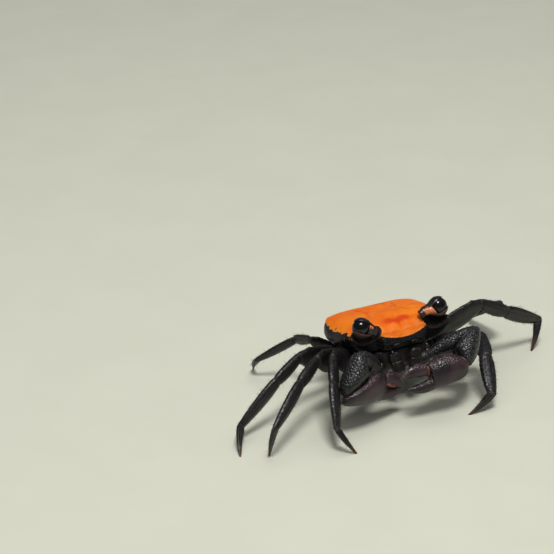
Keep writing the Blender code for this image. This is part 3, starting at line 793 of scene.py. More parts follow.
@dataclass(frozen=True)
class DarkShell:
    """Near-black shell with a satin sheen, faint mottling, fine granules and a painted highlight on the
    granules' tops.
    """

    name: str
    dark: Colour
    light: Colour
    grain_glint: Colour
    roughness: float = 0.38
    coat: float = 0.12
    tip: Colour = (0.075, 0.026, 0.014)
    grain_scale: float = 5200.0
    grain_depth: float = 0.03

    def material(self) -> Material:
        """Return the finish as a material."""
        bench = Bench(self.name)
        cloud = bench.steps(bench.noise(420.0, 5.0), 0.42, 0.68)
        colour = bench.mix(cloud, self.dark, self.light)
        # Painted highlight: the granules' tops are lightened toward a pale glint colour.
        colour = bench.mix(bench.steps(bench.attribute("grain_glint"), 0.35, 0.95, 0.0, 0.6), colour, self.grain_glint)
        colour = bench.mix(bench.attribute("tip"), colour, self.tip)
        specks = bench.steps(bench.cells(self.grain_scale), 0.1, 0.42, 1.0, 0.0)
        low, high = self.roughness - 0.07, self.roughness + 0.1
        roughness = bench.steps(bench.noise(900.0, 3.0), 0.3, 0.7, low, high)
        bench.bump(specks, self.grain_depth, 0.8)
        bench.bump(bench.noise(2600.0, 3.0), 0.03, 0.5)
        return bench.finish(colour, roughness, self.coat, 0.22, 0.4)


@dataclass(frozen=True)
class PatchedShell:
    """The carapace: an orange back with a ragged edge on black walls, whose granules carry a painted
    highlight.
    """

    name: str
    orange: Colour = (0.71, 0.136, 0.004)
    pale: Colour = (0.77, 0.19, 0.007)
    red: Colour = (0.56, 0.044, 0.003)
    rim: Colour = (0.72, 0.22, 0.022)
    black: Colour = (0.0036, 0.0033, 0.0038)
    sheen: Colour = (0.0085, 0.009, 0.0115)
    grain_glint: Colour = (0.02, 0.019, 0.022)
    brown: Colour = (0.03, 0.013, 0.008)
    waver: float = 0.06

    def material(self) -> Material:
        """Return the finish as a material."""
        bench = Bench(self.name)
        broad = bench.steps(bench.noise(210.0, 3.0), 0.38, 0.66)
        back = bench.mix(broad, self.orange, self.pale)
        streaks = bench.steps(bench.noise(900.0, 6.0, 0.65), 0.5, 0.78, 0.0, 0.5)
        back = bench.mix(streaks, back, self.red)
        back = bench.mix(bench.steps(bench.attribute("blush"), 0.1, 0.9, 0.0, 0.95), back, self.red)
        back = bench.mix(bench.attribute("furrow"), back, self.red)
        pits = bench.steps(bench.cells(1500.0), 0.06, 0.16, 0.55, 0.0)
        back = bench.mix(pits, back, self.red)
        waver = bench.steps(bench.noise(1500.0, 2.0), 0.2, 0.8, -self.waver, self.waver)
        edge = bench.total(bench.attribute("patch"), waver)
        back = bench.mix(bench.steps(edge, 0.05, 0.5, 0.55, 0.0), back, self.rim)
        wall = bench.mix(bench.steps(bench.noise(520.0, 5.0), 0.45, 0.72), self.black, self.sheen)
        # Painted highlight: the granules on the black walls are lightened toward a pale glint colour.
        wall = bench.mix(bench.steps(bench.attribute("grain_glint"), 0.3, 0.9, 0.0, 0.5), wall, self.grain_glint)
        wall = bench.mix(bench.attribute("brow"), wall, self.brown)
        inside = bench.steps(edge, -0.04, 0.04)
        colour = bench.mix(inside, wall, back)
        net = bench.steps(bench.cells(3400.0), 0.1, 0.42, 1.0, 0.0)
        bench.bump(net, 0.02, 0.7)
        bench.bump(bench.noise(1400.0, 5.0), 0.05, 0.5)
        return bench.finish(colour, bench.steps(inside, 0.0, 1.0, 0.36, 0.58), 0.04, 0.35, 0.25)


@dataclass(frozen=True)
class ClawShell:
    """Dark purple-brown claw with paler, pinkish finger tips and a painted highlight on its granules."""

    name: str
    dark: Colour = (0.0155, 0.009, 0.0115)
    warm: Colour = (0.04, 0.02, 0.024)
    tip: Colour = (0.16, 0.082, 0.078)
    grain_glint: Colour = (0.13, 0.095, 0.1)

    def material(self) -> Material:
        """Return the finish as a material."""
        bench = Bench(self.name)
        cloud = bench.steps(bench.noise(330.0, 5.0), 0.4, 0.68)
        colour = bench.mix(cloud, self.dark, self.warm)
        colour = bench.mix(bench.steps(bench.attribute("tip"), 0.0, 1.0, 0.0, 0.75), colour, self.tip)
        # Painted highlight: the granules' tops are lightened toward a pale glint colour.
        colour = bench.mix(bench.steps(bench.attribute("grain_glint"), 0.4, 0.95, 0.0, 0.7), colour, self.grain_glint)
        bench.bump(bench.steps(bench.cells(4200.0), 0.1, 0.45, 1.0, 0.0), 0.02, 0.5)
        bench.bump(bench.noise(1800.0, 4.0), 0.03, 0.4)
        roughness = bench.steps(bench.noise(700.0, 3.0), 0.3, 0.7, 0.3, 0.44)
        return bench.finish(colour, roughness, 0.12, 0.22, 0.4)


@dataclass(frozen=True)
class SoftSkin:
    """Folded skin of a joint."""

    name: str
    deep: Colour
    light: Colour

    def material(self) -> Material:
        """Return the finish as a material."""
        bench = Bench(self.name)
        colour = bench.mix(bench.steps(bench.noise(1500.0, 4.0), 0.35, 0.7), self.deep, self.light)
        bench.bump(bench.noise(4200.0, 3.0), 0.03, 0.6)
        roughness = bench.steps(bench.noise(1200.0, 2.0), 0.3, 0.7, 0.42, 0.6)
        return bench.finish(colour, roughness, 0.1, 0.3)


@dataclass(frozen=True)
class CorneaGloss:
    """Wet black eye made of tiny facets, with a faint brown depth."""

    name: str
    deep: Colour = (0.002, 0.002, 0.0025)
    light: Colour = (0.02, 0.012, 0.008)

    def material(self) -> Material:
        """Return the finish as a material."""
        bench = Bench(self.name)
        colour = bench.mix(bench.steps(bench.noise(700.0, 3.0), 0.5, 0.8), self.deep, self.light)
        bench.bump(bench.steps(bench.cells(14000.0, True), 0.0, 0.12), 0.004, 0.3)
        return bench.finish(colour, 0.2, 0.45, 0.03, 0.2)


@dataclass(frozen=True)
class StalkSkin:
    """Pink-orange eyestalk with a dark back and dark freckles."""

    name: str
    pink: Colour = (0.5, 0.15, 0.075)
    orange: Colour = (0.66, 0.17, 0.03)
    dark: Colour = (0.012, 0.008, 0.008)

    def material(self) -> Material:
        """Return the finish as a material."""
        bench = Bench(self.name)
        colour = bench.mix(bench.steps(bench.noise(800.0, 3.0), 0.4, 0.65), self.pink, self.orange)
        freckles = bench.steps(bench.cells(2600.0), 0.12, 0.3, 0.7, 0.0)
        colour = bench.mix(freckles, colour, self.dark)
        colour = bench.mix(bench.attribute("shade"), colour, self.dark)
        bench.bump(bench.noise(2600.0, 4.0), 0.03, 0.5)
        roughness = bench.steps(bench.noise(1500.0, 2.0), 0.3, 0.7, 0.3, 0.45)
        return bench.finish(colour, roughness, 0.3, 0.2)


@dataclass(frozen=True)
class PaleFloor:
    """A plain matt studio floor."""

    name: str
    colour: Colour = (0.56, 0.56, 0.46)
    shade: Colour = (0.545, 0.545, 0.447)

    def material(self) -> Material:
        """Return the finish as a material."""
        bench = Bench(self.name)
        colour = bench.mix(bench.steps(bench.noise(60.0, 3.0), 0.3, 0.7), self.colour, self.shade)
        bench.bump(bench.noise(900.0, 2.0), 0.05, 0.2)
        return bench.finish(colour, 0.85, 0.0, 0.3, 0.2)


@dataclass
class Finishes:
    """Every finish of the crab, made once."""

    shell: Material
    underside: Material
    leg: Material
    arm: Material
    claw: Material
    membrane: Material
    wrist: Material
    hinge: Material
    cornea: Material
    stalk: Material
    mouth: Material
    bristle: Material

    @classmethod
    def made(cls) -> Finishes:
        """Return all finishes."""
        return cls(
            shell=PatchedShell("carapace_shell").material(),
            # The fourth colour of each dark shell is the painted highlight on its granules' tops.
            underside=DarkShell(
                "underside_shell", (0.006, 0.005, 0.0055), (0.02, 0.015, 0.015), (0.04, 0.035, 0.035)
            ).material(),
            leg=DarkShell(
                "leg_shell", (0.004, 0.0036, 0.0038), (0.012, 0.0098, 0.01), (0.07, 0.065, 0.066)
            ).material(),
            arm=DarkShell(
                "arm_shell", (0.0042, 0.0038, 0.0042), (0.011, 0.009, 0.01), (0.085, 0.082, 0.09),
                roughness=0.34, coat=0.25,
            ).material(),
            claw=ClawShell("claw_shell").material(),
            membrane=SoftSkin("joint_skin", (0.012, 0.009, 0.01), (0.05, 0.03, 0.03)).material(),
            wrist=SoftSkin("wrist_skin", (0.03, 0.012, 0.012), (0.1, 0.034, 0.028)).material(),
            hinge=SoftSkin("hinge_skin", (0.05, 0.014, 0.01), (0.15, 0.04, 0.024)).material(),
            cornea=CorneaGloss("cornea").material(),
            stalk=StalkSkin("eyestalk_skin").material(),
            mouth=DarkShell(
                "mouth_shell", (0.0042, 0.0036, 0.003), (0.017, 0.0115, 0.0062), (0.03, 0.021, 0.012),
                roughness=0.5, coat=0.05,
            ).material(),
            bristle=SoftSkin("bristle_brown", (0.012, 0.009, 0.007), (0.05, 0.035, 0.022)).material(),
        )


def settle(piece: Thing, material: Material, slot: Slot, *nodes: str) -> None:
    """Give a piece its finish and its body, and hide the solids that it stands for.

    Args:
        piece: the piece.
        material: its finish.
        slot: not used.
        nodes: the names of the solids.
    """
    piece.data.materials.clear()
    piece.data.materials.append(material)
    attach(piece, "root")
    if nodes:
        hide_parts(*nodes)
    log.info("%s: %d faces", piece.name, len(piece.data.polygons))


# The crab


@dataclass
class Carapace:
    """The shield over the body: orange back, black walls, grooves, pits and granules."""

    solids: Solids
    voxel: float = 0.11
    margin_z: float = 1.05
    front_edge_z: float = -0.62
    front_edge_curve: float = 0.05
    front_half_width: float = 4.5
    orbit_centre: tuple[float, float, float] = (6.6, -8.0, 1.9)
    orbit_half: tuple[float, float, float] = (2.6, 2.0, 2.25)
    orbit_rims: tuple[float, float] = (0.34, 0.08)
    brow_height: float = 0.22
    furrow_depth: float = 0.11
    furrow_redness: float = 0.45
    ridge_height: float = 0.05
    ridge_pitch: float = 0.95

    def furrows(self, body: Array) -> Array:
        """Return how deep the H-shaped groove marks are at points, from 0 to 1.

        Args:
            body: points in the frame of the body, in millimetres.

        Returns:
            One share for each point.
        """
        x, y = np.abs(body[:, 0]), body[:, 1]
        middle = bell(x, 0.22) * soft_step(-3.9, -4.8, y)
        arms = bell(x - 2.75 - 0.22 * np.abs(y - 0.6), 0.26) * soft_step(4.8, 3.6, np.abs(y - 0.6))
        bar = bell(y - 1.0 - 0.06 * x * x, 0.24) * soft_step(3.4, 2.6, x)
        neck = bell(y + 2.3 + 0.5 * (x - 3.2), 0.24) * soft_step(2.8, 3.4, x) * soft_step(8.0, 6.6, x)
        heart = bell(x - 1.9 + 0.12 * (y - 4.0) ** 2, 0.24) * soft_step(2.6, 1.6, np.abs(y - 4.2))
        deepest = np.maximum.reduce((middle, arms, bar, neck * 0.8, heart * 0.7))
        return deepest * soft_step(0.3, 0.8, body[:, 2])

    def orbit_distance(self, body: Array) -> Array:
        """Return how far points are outside the orbits, in millimetres.

        Args:
            body: points in the frame of the body, in millimetres.

        Returns:
            One distance for each point.
        """
        middle = np.array(self.orbit_centre)
        mirrored = np.column_stack((np.abs(body[:, 0]), body[:, 1], body[:, 2]))
        reach = np.linalg.norm((mirrored - middle) / np.array(self.orbit_half), axis=1)
        return (reach - 1.0) * self.orbit_half[1]

    def brow(self, body: Array) -> Array:
        """Return the share of the low rim that runs round the orbits' lower side."""
        rim = bell(self.orbit_distance(body) - 0.3, 0.2)
        return rim * soft_step(1.2, 0.4, body[:, 2]) * soft_step(-6.0, -6.8, body[:, 1])

    def patch(self, body: Array) -> Array:
        """Return how far points are inside the orange patch, in millimetres.

        Args:
            body: points in the frame of the body, in millimetres.

        Returns:
            One distance for each point.
        """
        x, y, z = body[:, 0], body[:, 1], body[:, 2]
        half = self.front_half_width
        front = soft_step(-7.0, -8.0, y) * soft_step(half + 0.4, half - 0.3, np.abs(x))
        front_edge = self.front_edge_z + self.front_edge_curve * x * x
        edge = self.margin_z + (front_edge - self.margin_z) * front
        ragged = np.array([noise.noise(Vector(point) * 0.9) for point in body])
        fine = np.array([noise.noise(Vector(point) * 2.6 + Vector((7.0, 0.0, 0.0))) for point in body])
        depth = (z - edge) + (0.5 * ragged + 0.12 * fine) * (1.0 - 0.85 * front)
        rim = self.orbit_rims[0] + (self.orbit_rims[1] - self.orbit_rims[0]) * soft_step(-1.0, 1.0, x)
        return np.minimum(depth, self.orbit_distance(body) - rim + 0.08 * fine)

    def relief(self, body: Array) -> Array:
        """Return the height of grooves, swellings and side ridges, in millimetres.

        Args:
            body: points in the frame of the body, in millimetres.

        Returns:
            One height for each point.
        """
        x, y, z = np.abs(body[:, 0]), body[:, 1], body[:, 2]
        top = soft_step(0.2, 0.9, z)
        swell = 0.12 * mound(x, y, (6.2, 1.0), (2.2, 4.0)) * top
        swell += 0.08 * mound(x, y, (0.0, -2.0), (2.0, 2.2)) * top
        ridges = np.sin((y * 0.9 - x * 0.55) * math.tau / self.ridge_pitch) ** 4
        band = soft_step(6.6, 8.2, x) * soft_step(-2.5, 0.0, y) * soft_step(-1.6, 0.4, z)
        striae = self.ridge_height * ridges * band
        return swell + striae + self.brow_height * self.brow(body) - self.furrow_depth * self.furrows(body)

    def build(self) -> Thing:
        """Return the carapace with its relief and the attributes that its finish reads."""
        piece = rounded_solid("carapace_shell", self.solids["carapace"], self.voxel, smoothing=5)
        raise_skin(piece, self.relief(to_body(coordinates(piece.data))))

        def walls(points: Array, facing: Array) -> Array:
            """Grains on the walls, the front and the shoulders."""
            body = to_body(points)
            low = soft_step(0.5, -0.1, body[:, 2])
            shoulder = 0.6 * soft_step(-5.5, -7.0, body[:, 1]) * soft_step(5.5, 7.0, np.abs(body[:, 0]))
            return np.maximum(low, shoulder)

        def back(points: Array, facing: Array) -> Array:
            """Pits on the back."""
            return soft_step(0.8, 1.4, to_body(points)[:, 2])

        def lobes(points: Array, facing: Array) -> Array:
            """Low grains on the lobes behind the front."""
            body = to_body(points)
            return soft_step(-5.8, -7.2, body[:, 1]) * soft_step(5.2, 4.2, np.abs(body[:, 0]))

        granulate(
            piece,
            Granules(0.46, 0.22, 0.045, walls),
            Granules(0.75, 0.2, -0.045, back, SEED + 1),
            Granules(0.6, 0.26, 0.014, lobes, SEED + 2),
        )
        body = to_body(coordinates(piece.data))
        blush = np.zeros(len(body))
        for sign in SIDE_SIGN.values():
            blush += mound(body[:, 0], body[:, 1], (1.3 * sign, -6.2), (1.5, 0.95))
        store(piece.data, "patch", self.patch(body))
        store(piece.data, "blush", np.clip(blush, 0.0, 1.0))
        store(piece.data, "furrow", self.furrows(body) * self.furrow_redness)
        store(piece.data, "brow", self.brow(body))
        return piece

    def dress(self, finishes: Finishes) -> None:
        """Build and finish the carapace."""
        settle(self.build(), finishes.shell, Slot.SHELL, "carapace")


@dataclass
class Underside:
    """The breast plates with the limbs' roots, and the folded tail."""

    solids: Solids
    voxel: float = 0.14
    plate_seams: tuple[float, ...] = (-5.6, -3.4, -1.2, 1.1, 3.4)
    tail_seams: tuple[float, ...] = (-2.1, -0.6, 1.0, 2.7, 4.6, 6.2)
    seam_width: float = 0.16
    plate_seam_depth: float = 0.14
    tail_seam_depth: float = 0.1

    def seams(self, along: Array, places: tuple[float, ...], depth: float) -> Array:
        """Return the depth of the seams between plates.

        Args:
            along: where points are along the row of plates.
            places: where the seams are.
            depth: how deep they are.

        Returns:
            One height below zero for each point.
        """
        cut = np.zeros(len(along))
        for place in places:
            cut = np.maximum(cut, bell(along - place, self.seam_width))
        return -depth * cut

    def dress(self, finishes: Finishes) -> None:
        """Build and finish the breast and the tail.

        Args:
            finishes: the crab's finishes.
        """
        breast = rounded_solid("thorax_shell", self.solids["thorax"], self.voxel, smoothing=5, levels=1)
        body = to_body(coordinates(breast.data))
        slanted = body[:, 1] + 0.25 * np.abs(body[:, 0])
        cut = self.seams(slanted, self.plate_seams, self.plate_seam_depth)
        raise_skin(breast, cut * soft_step(-3.6, -4.4, body[:, 2]))
        granulate(breast, Granules(0.5, 0.22, 0.05, everywhere(0.8)))
        settle(breast, finishes.underside, Slot.UNDERSIDE, "thorax")
        tail = rounded_solid("pleon_shell", self.solids["pleon"], self.voxel, smoothing=4)
        body = to_body(coordinates(tail.data))
        raise_skin(tail, self.seams(body[:, 1], self.tail_seams, self.tail_seam_depth))
        granulate(tail, Granules(0.6, 0.2, 0.03, everywhere(0.7)))
        settle(tail, finishes.underside, Slot.UNDERSIDE, "pleon")


@dataclass
class Eye:
    """One eye: the wet cornea, the stalk that carries it, its dark hood and its lid."""

    solids: Solids
    side: str
    base_lift: float = 0.0
    voxel: float = 0.09
    cornea_scale: tuple[float, float, float] = (0.84, 1.06, 0.95)
    half_length: float = 1.85
    hood_length: float = 1.72
    stalk_radius: float = 0.8
    stalk_swell: float = 0.3
    ridge_squareness: float = 0.62
    ridge_gap: float = 0.03
    socket_swell: float = 0.95
    pink_blur: float = 0.15
    pink_skin: ClassVar[dict[str, tuple[float, float, float]]] = {
        "left": (-2.2, -0.55, -2.85),
        "right": (-1.05, -0.35, -2.0),
    }

    def frame(self) -> tuple[Array, Array, float]:
        """Return the cornea's middle, the rows outward, up and back, and the cornea's half width."""
        points = to_body(coordinates(self.solids["eye_" + self.side].data))
        stalk = to_body(coordinates(self.solids["eyestalk_" + self.side].data)).mean(0)
        centre = points.mean(0)
        outward = centre - stalk
        outward /= np.linalg.norm(outward)
        middle = centre + outward * ((points @ outward).max() - self.half_length - centre @ outward)
        upward = np.array((0.0, 0.0, 1.0)) - outward * outward[2]
        upward /= np.linalg.norm(upward)
        backward = np.cross(upward, outward) * SIDE_SIGN[self.side]
        wide = np.linalg.norm(np.cross(points - middle, outward), axis=1).max()
        return middle, np.array((outward, upward, backward)), wide

    def lifted(self, along: Array) -> Array:
        """Return how far the stalk is raised towards its root, at places along the eye's axis."""
        return self.base_lift * soft_step(-0.6, -2.9, along)

    def ridge(
        self, name: str, reach: tuple[float, float], wrap: float, tilt: float, thickness: float
    ) -> Thing:
        """Return a ridge that is wrapped round the stalk and the cornea.

        Args:
            name: the piece's name.
            reach: its two ends along the eye's axis, in millimetres outward of the cornea's middle.
            wrap: half its width, in radians round the axis.
            tilt: its middle, in radians backward of straight up.
            thickness: its rise over the eye.

        Returns:
            The ridge, at the origin.
        """
        middle, axes, wide = self.frame()
        piece = unit_ball(name, 40, 28)
        points = coordinates(piece.data)
        points[:, :2] = np.sign(points[:, :2]) * np.abs(points[:, :2]) ** self.ridge_squareness
        along = reach[0] + (reach[1] - reach[0]) * (points[:, 0] + 1.0) / 2.0
        bulb = wide * np.sqrt(1.0 - np.clip(along / self.hood_length, 0.0, 1.0) ** 2)
        taper = self.stalk_radius + (wide - self.stalk_radius) * soft_step(-2.6, -0.1, along)
        radius = np.where(along > 0.0, bulb, taper) * self.cornea_scale[1]
        angle = points[:, 1] * wrap + tilt
        out = radius + self.ridge_gap + thickness * points[:, 2]
        placed = middle + along[:, None] * axes[0]
        placed = placed + (np.cos(angle) * out + self.lifted(along))[:, None] * axes[1]
        move_to(piece, to_world(placed + (np.sin(angle) * out)[:, None] * axes[2]))
        bpy.ops.object.mode_set(mode="EDIT")
        bpy.ops.mesh.select_all(action="SELECT")
        bpy.ops.mesh.normals_make_consistent(inside=False)
        bpy.ops.object.mode_set(mode="OBJECT")
        apply_modifier(piece, "SUBSURF", levels=1, render_levels=1)
        granulate(piece, Granules(0.34, 0.17, 0.03, everywhere(0.8)))
        piece.data.shade_smooth()
        return piece

    def cornea(self) -> Thing:
        """Return the cornea, a little shorter and taller than its solid."""
        piece = rounded_solid("cornea_" + self.side, self.solids["eye_" + self.side], self.voxel, 0.4, 6)
        middle, axes, _ = self.frame()
        local = (to_body(coordinates(piece.data)) - middle) @ axes.T
        move_to(piece, to_world(middle + (local * np.array(self.cornea_scale)) @ axes))
        return piece

    def stalk(self) -> Thing:
        """Return the stalk, which widens to hold the cornea, with its dark parts marked."""
        piece = rounded_solid("stalk_" + self.side, self.solids["eyestalk_" + self.side], 0.08, 0.5, 4)
        middle, axes, _ = self.frame()
        local = (to_body(coordinates(piece.data)) - middle) @ axes.T
        local[:, 1:] *= (1.0 + self.stalk_swell * soft_step(-2.4, -0.8, local[:, 0]))[:, None]
        local[:, 0] += 0.35 * soft_step(-2.0, -0.8, local[:, 0]) - 0.6 * soft_step(-2.2, -2.8, local[:, 0])
        local[:, 1] += self.lifted(local[:, 0])
        move_to(piece, to_world(middle + local @ axes))
        facing = normals(piece.data) @ np.array(body_matrix().to_3x3()) / MM @ axes.T
        turned = np.arctan2(facing[:, 2], facing[:, 1])
        low, high, root = self.pink_skin[self.side]
        blur = self.pink_blur
        pink = soft_step(low - blur, low + blur, turned) * soft_step(high + blur, high - blur, turned)
        pink *= soft_step(root, root + 0.25, local[:, 0])
        store(piece.data, "shade", 1.0 - pink)
        raise_skin(piece, 0.03 * np.sin(local[:, 0] * 9.0))
        return piece

    def dress(self, finishes: Finishes) -> None:
        """Build and finish the cornea, the stalk, the hood, the lid and the skin between them.

        Args:
            finishes: the crab's finishes.
        """
        hood = self.ridge("eye_hood_" + self.side, (-2.6, 1.6), 0.8, 0.2, 0.15)
        settle(hood, finishes.arm, Slot.STALK)
        lid = self.ridge("eye_lid_" + self.side, (-2.0, 1.25), 0.55, -2.62, 0.14)
        settle(lid, finishes.wrist, Slot.STALK)
        settle(self.cornea(), finishes.cornea, Slot.CORNEA, "eye_" + self.side)
        node = "eyestalk_" + self.side
        settle(self.stalk(), finishes.stalk, Slot.STALK, node)
        solid, shell = self.solids[node], self.solids["carapace"]
        socket = membrane("eye_socket_" + self.side, solid, shell, self.socket_swell)
        _, axes, _ = self.frame()
        move_to(socket, to_world(to_body(coordinates(socket.data)) + self.base_lift * axes[1]))
        settle(socket, finishes.membrane, Slot.STALK)


@dataclass
class Face:
    """The mouth plates with their bristles, the feelers and the little feelers."""

    solids: Solids
    feeler_radius: float = 0.13
    feeler_rings: int = 24
    small_feeler_line: tuple[tuple[float, ...], ...] = (
        (2.3, -8.9, -1.75), (1.7, -9.15, -1.6), (1.1, -9.1, -1.72), (1.5, -9.0, -2.0),
    )
    small_feeler_sizes: tuple[float, ...] = (1.5, 1.2, 0.9, 0.5)
    seam_depth: float = 0.16

    def feeler(self, side: str) -> Thing:
        """Return one jointed antenna on its two broad base segments.

        Args:
            side: the crab's side.

        Returns:
            The new piece.
        """
        node = self.solids["antenna_" + side]
        centre, axes, half = principal_axes(coordinates(node.data))
        rootward = axes[0] * half[0]
        if Vector(centre - rootward).y < Vector(centre + rootward).y:
            rootward = -rootward
        root, tip = Vector(centre + rootward), Vector(centre - rootward)
        length = (tip - root).length
        bpy.ops.object.select_all(action="DESELECT")
        bpy.ops.mesh.primitive_cylinder_add(vertices=16, radius=1.0, depth=1.0, location=(0.0, 0.0, 0.5))
        piece = bpy.context.object
        piece.name = "feeler_" + side
        bpy.ops.object.transform_apply()
        bpy.ops.object.mode_set(mode="EDIT")
        for step in range(1, self.feeler_rings):
            bpy.ops.mesh.select_all(action="SELECT")
            bpy.ops.mesh.bisect(plane_co=(0.0, 0.0, step / self.feeler_rings), plane_no=(0.0, 0.0, 1.0))
        bpy.ops.object.mode_set(mode="OBJECT")
        points = coordinates(piece.data)
        share = points[:, 2]
        waist = 1.0 - 0.25 * np.sin(share * 17.0) ** 2
        broad = self.feeler_radius * 2.6 * soft_step(0.42, 0.34, share) * waist
        thin = self.feeler_radius * (1.15 - 0.75 * share) * (1.0 + 0.16 * np.sin(share * math.tau * 9.0))
        radius = np.maximum(broad, thin)
        bow = 0.16 * share ** 2
        placed = np.column_stack(
            (points[:, 0] * radius * MM + bow * length * 0.6, points[:, 1] * radius * MM, share * length)
        )
        turn = np.array((tip - root).to_track_quat("Z", "X").to_matrix())
        move_to(piece, placed @ turn.T + np.array(root))
        piece.data.shade_smooth()
        return piece

    def small_feeler(self, side: str) -> Thing:
        """Return one short folded antennule, which lies in its pit under the front.

        Args:
            side: the crab's side.

        Returns:
            The new piece.
        """
        sign = SIDE_SIGN[side]
        place = body_matrix()
        points = [place @ Vector((x * sign, y, z)) for x, y, z in self.small_feeler_line]
        curve = bpy.data.curves.new("small_feeler_" + side, "CURVE")
        curve.dimensions = "3D"
        curve.bevel_depth = self.feeler_radius * MM
        curve.bevel_resolution = 4
        curve.use_fill_caps = True
        line = curve.splines.new("BEZIER")
        line.bezier_points.add(len(points) - 1)
        for knot, point, radius in zip(line.bezier_points, points, self.small_feeler_sizes):
            knot.co = point
            knot.radius = radius
            knot.handle_left_type = knot.handle_right_type = "AUTO"
        holder = bpy.data.objects.new("small_feeler_" + side, curve)
        bpy.context.scene.collection.objects.link(holder)
        activate(holder)
        bpy.ops.object.convert(target="MESH")
        piece = bpy.context.object
        apply_modifier(piece, "WELD", merge_threshold=0.00001)
        piece.data.shade_smooth()
        return piece

    def mouth_plate(self, side: str) -> Thing:
        """Return one outer mouth plate with the seam between its two broad segments.

        Args:
            side: the crab's side.

        Returns:
            The new piece.
        """
        piece = rounded_solid("mouth_plate_" + side, self.solids["maxilliped_" + side], 0.08, 0.6, 5, 1)
        body = to_body(coordinates(piece.data))
        seam = bell(body[:, 2] + 4.75 + 0.12 * (np.abs(body[:, 0]) - 1.6), 0.11)
        edge = bell(np.abs(body[:, 0]) - 2.3 - 0.1 * (body[:, 2] + 4.9), 0.09)
        bow = 0.16 * bell(np.abs(body[:, 0]) - 1.5, 0.8)
        raise_skin(piece, bow - self.seam_depth * np.maximum(seam, edge * 0.8))
        granulate(piece, Granules(0.32, 0.16, 0.04, everywhere(0.8)))
        return piece

    def dress(self, finishes: Finishes) -> None:
        """Build and finish all pieces of the face.

        Args:
            finishes: the crab's finishes.
        """
        inward = np.array(body_matrix().to_3x3() @ Vector((0.0, -0.3, -1.0)).normalized()) / MM
        plates = []
        for side in SIDE_SIGN:
            plate = self.mouth_plate(side)
            settle(plate, finishes.mouth, Slot.MOUTH, "maxilliped_" + side)
            plates.append((plate, inward))
            settle(self.feeler(side), finishes.arm, Slot.UNDERSIDE, "antenna_" + side)
            settle(self.small_feeler(side), finishes.underside, Slot.MOUTH)

        def rows(points: Array, facing: Array) -> Array:
            """The slanting row of hairs, and the fringe of the inner edge."""
            body = to_body(points)
            x, z = np.abs(body[:, 0]), body[:, 2]
            slant = np.abs(z + 4.9 - 1.1 * (x - 1.6)) < 0.16
            fringe = (x < 1.0) | (z < -6.3)
            return ((slant | fringe) & (facing @ np.array((0.0, -1.0, 0.0)) > -0.2)).astype(float)

        coat = bristle_coat("mouth_bristles", plates, [Bristles(0.2, 0.6, 0.03, 0.8, rows)])
        settle(coat, finishes.bristle, Slot.MOUTH)


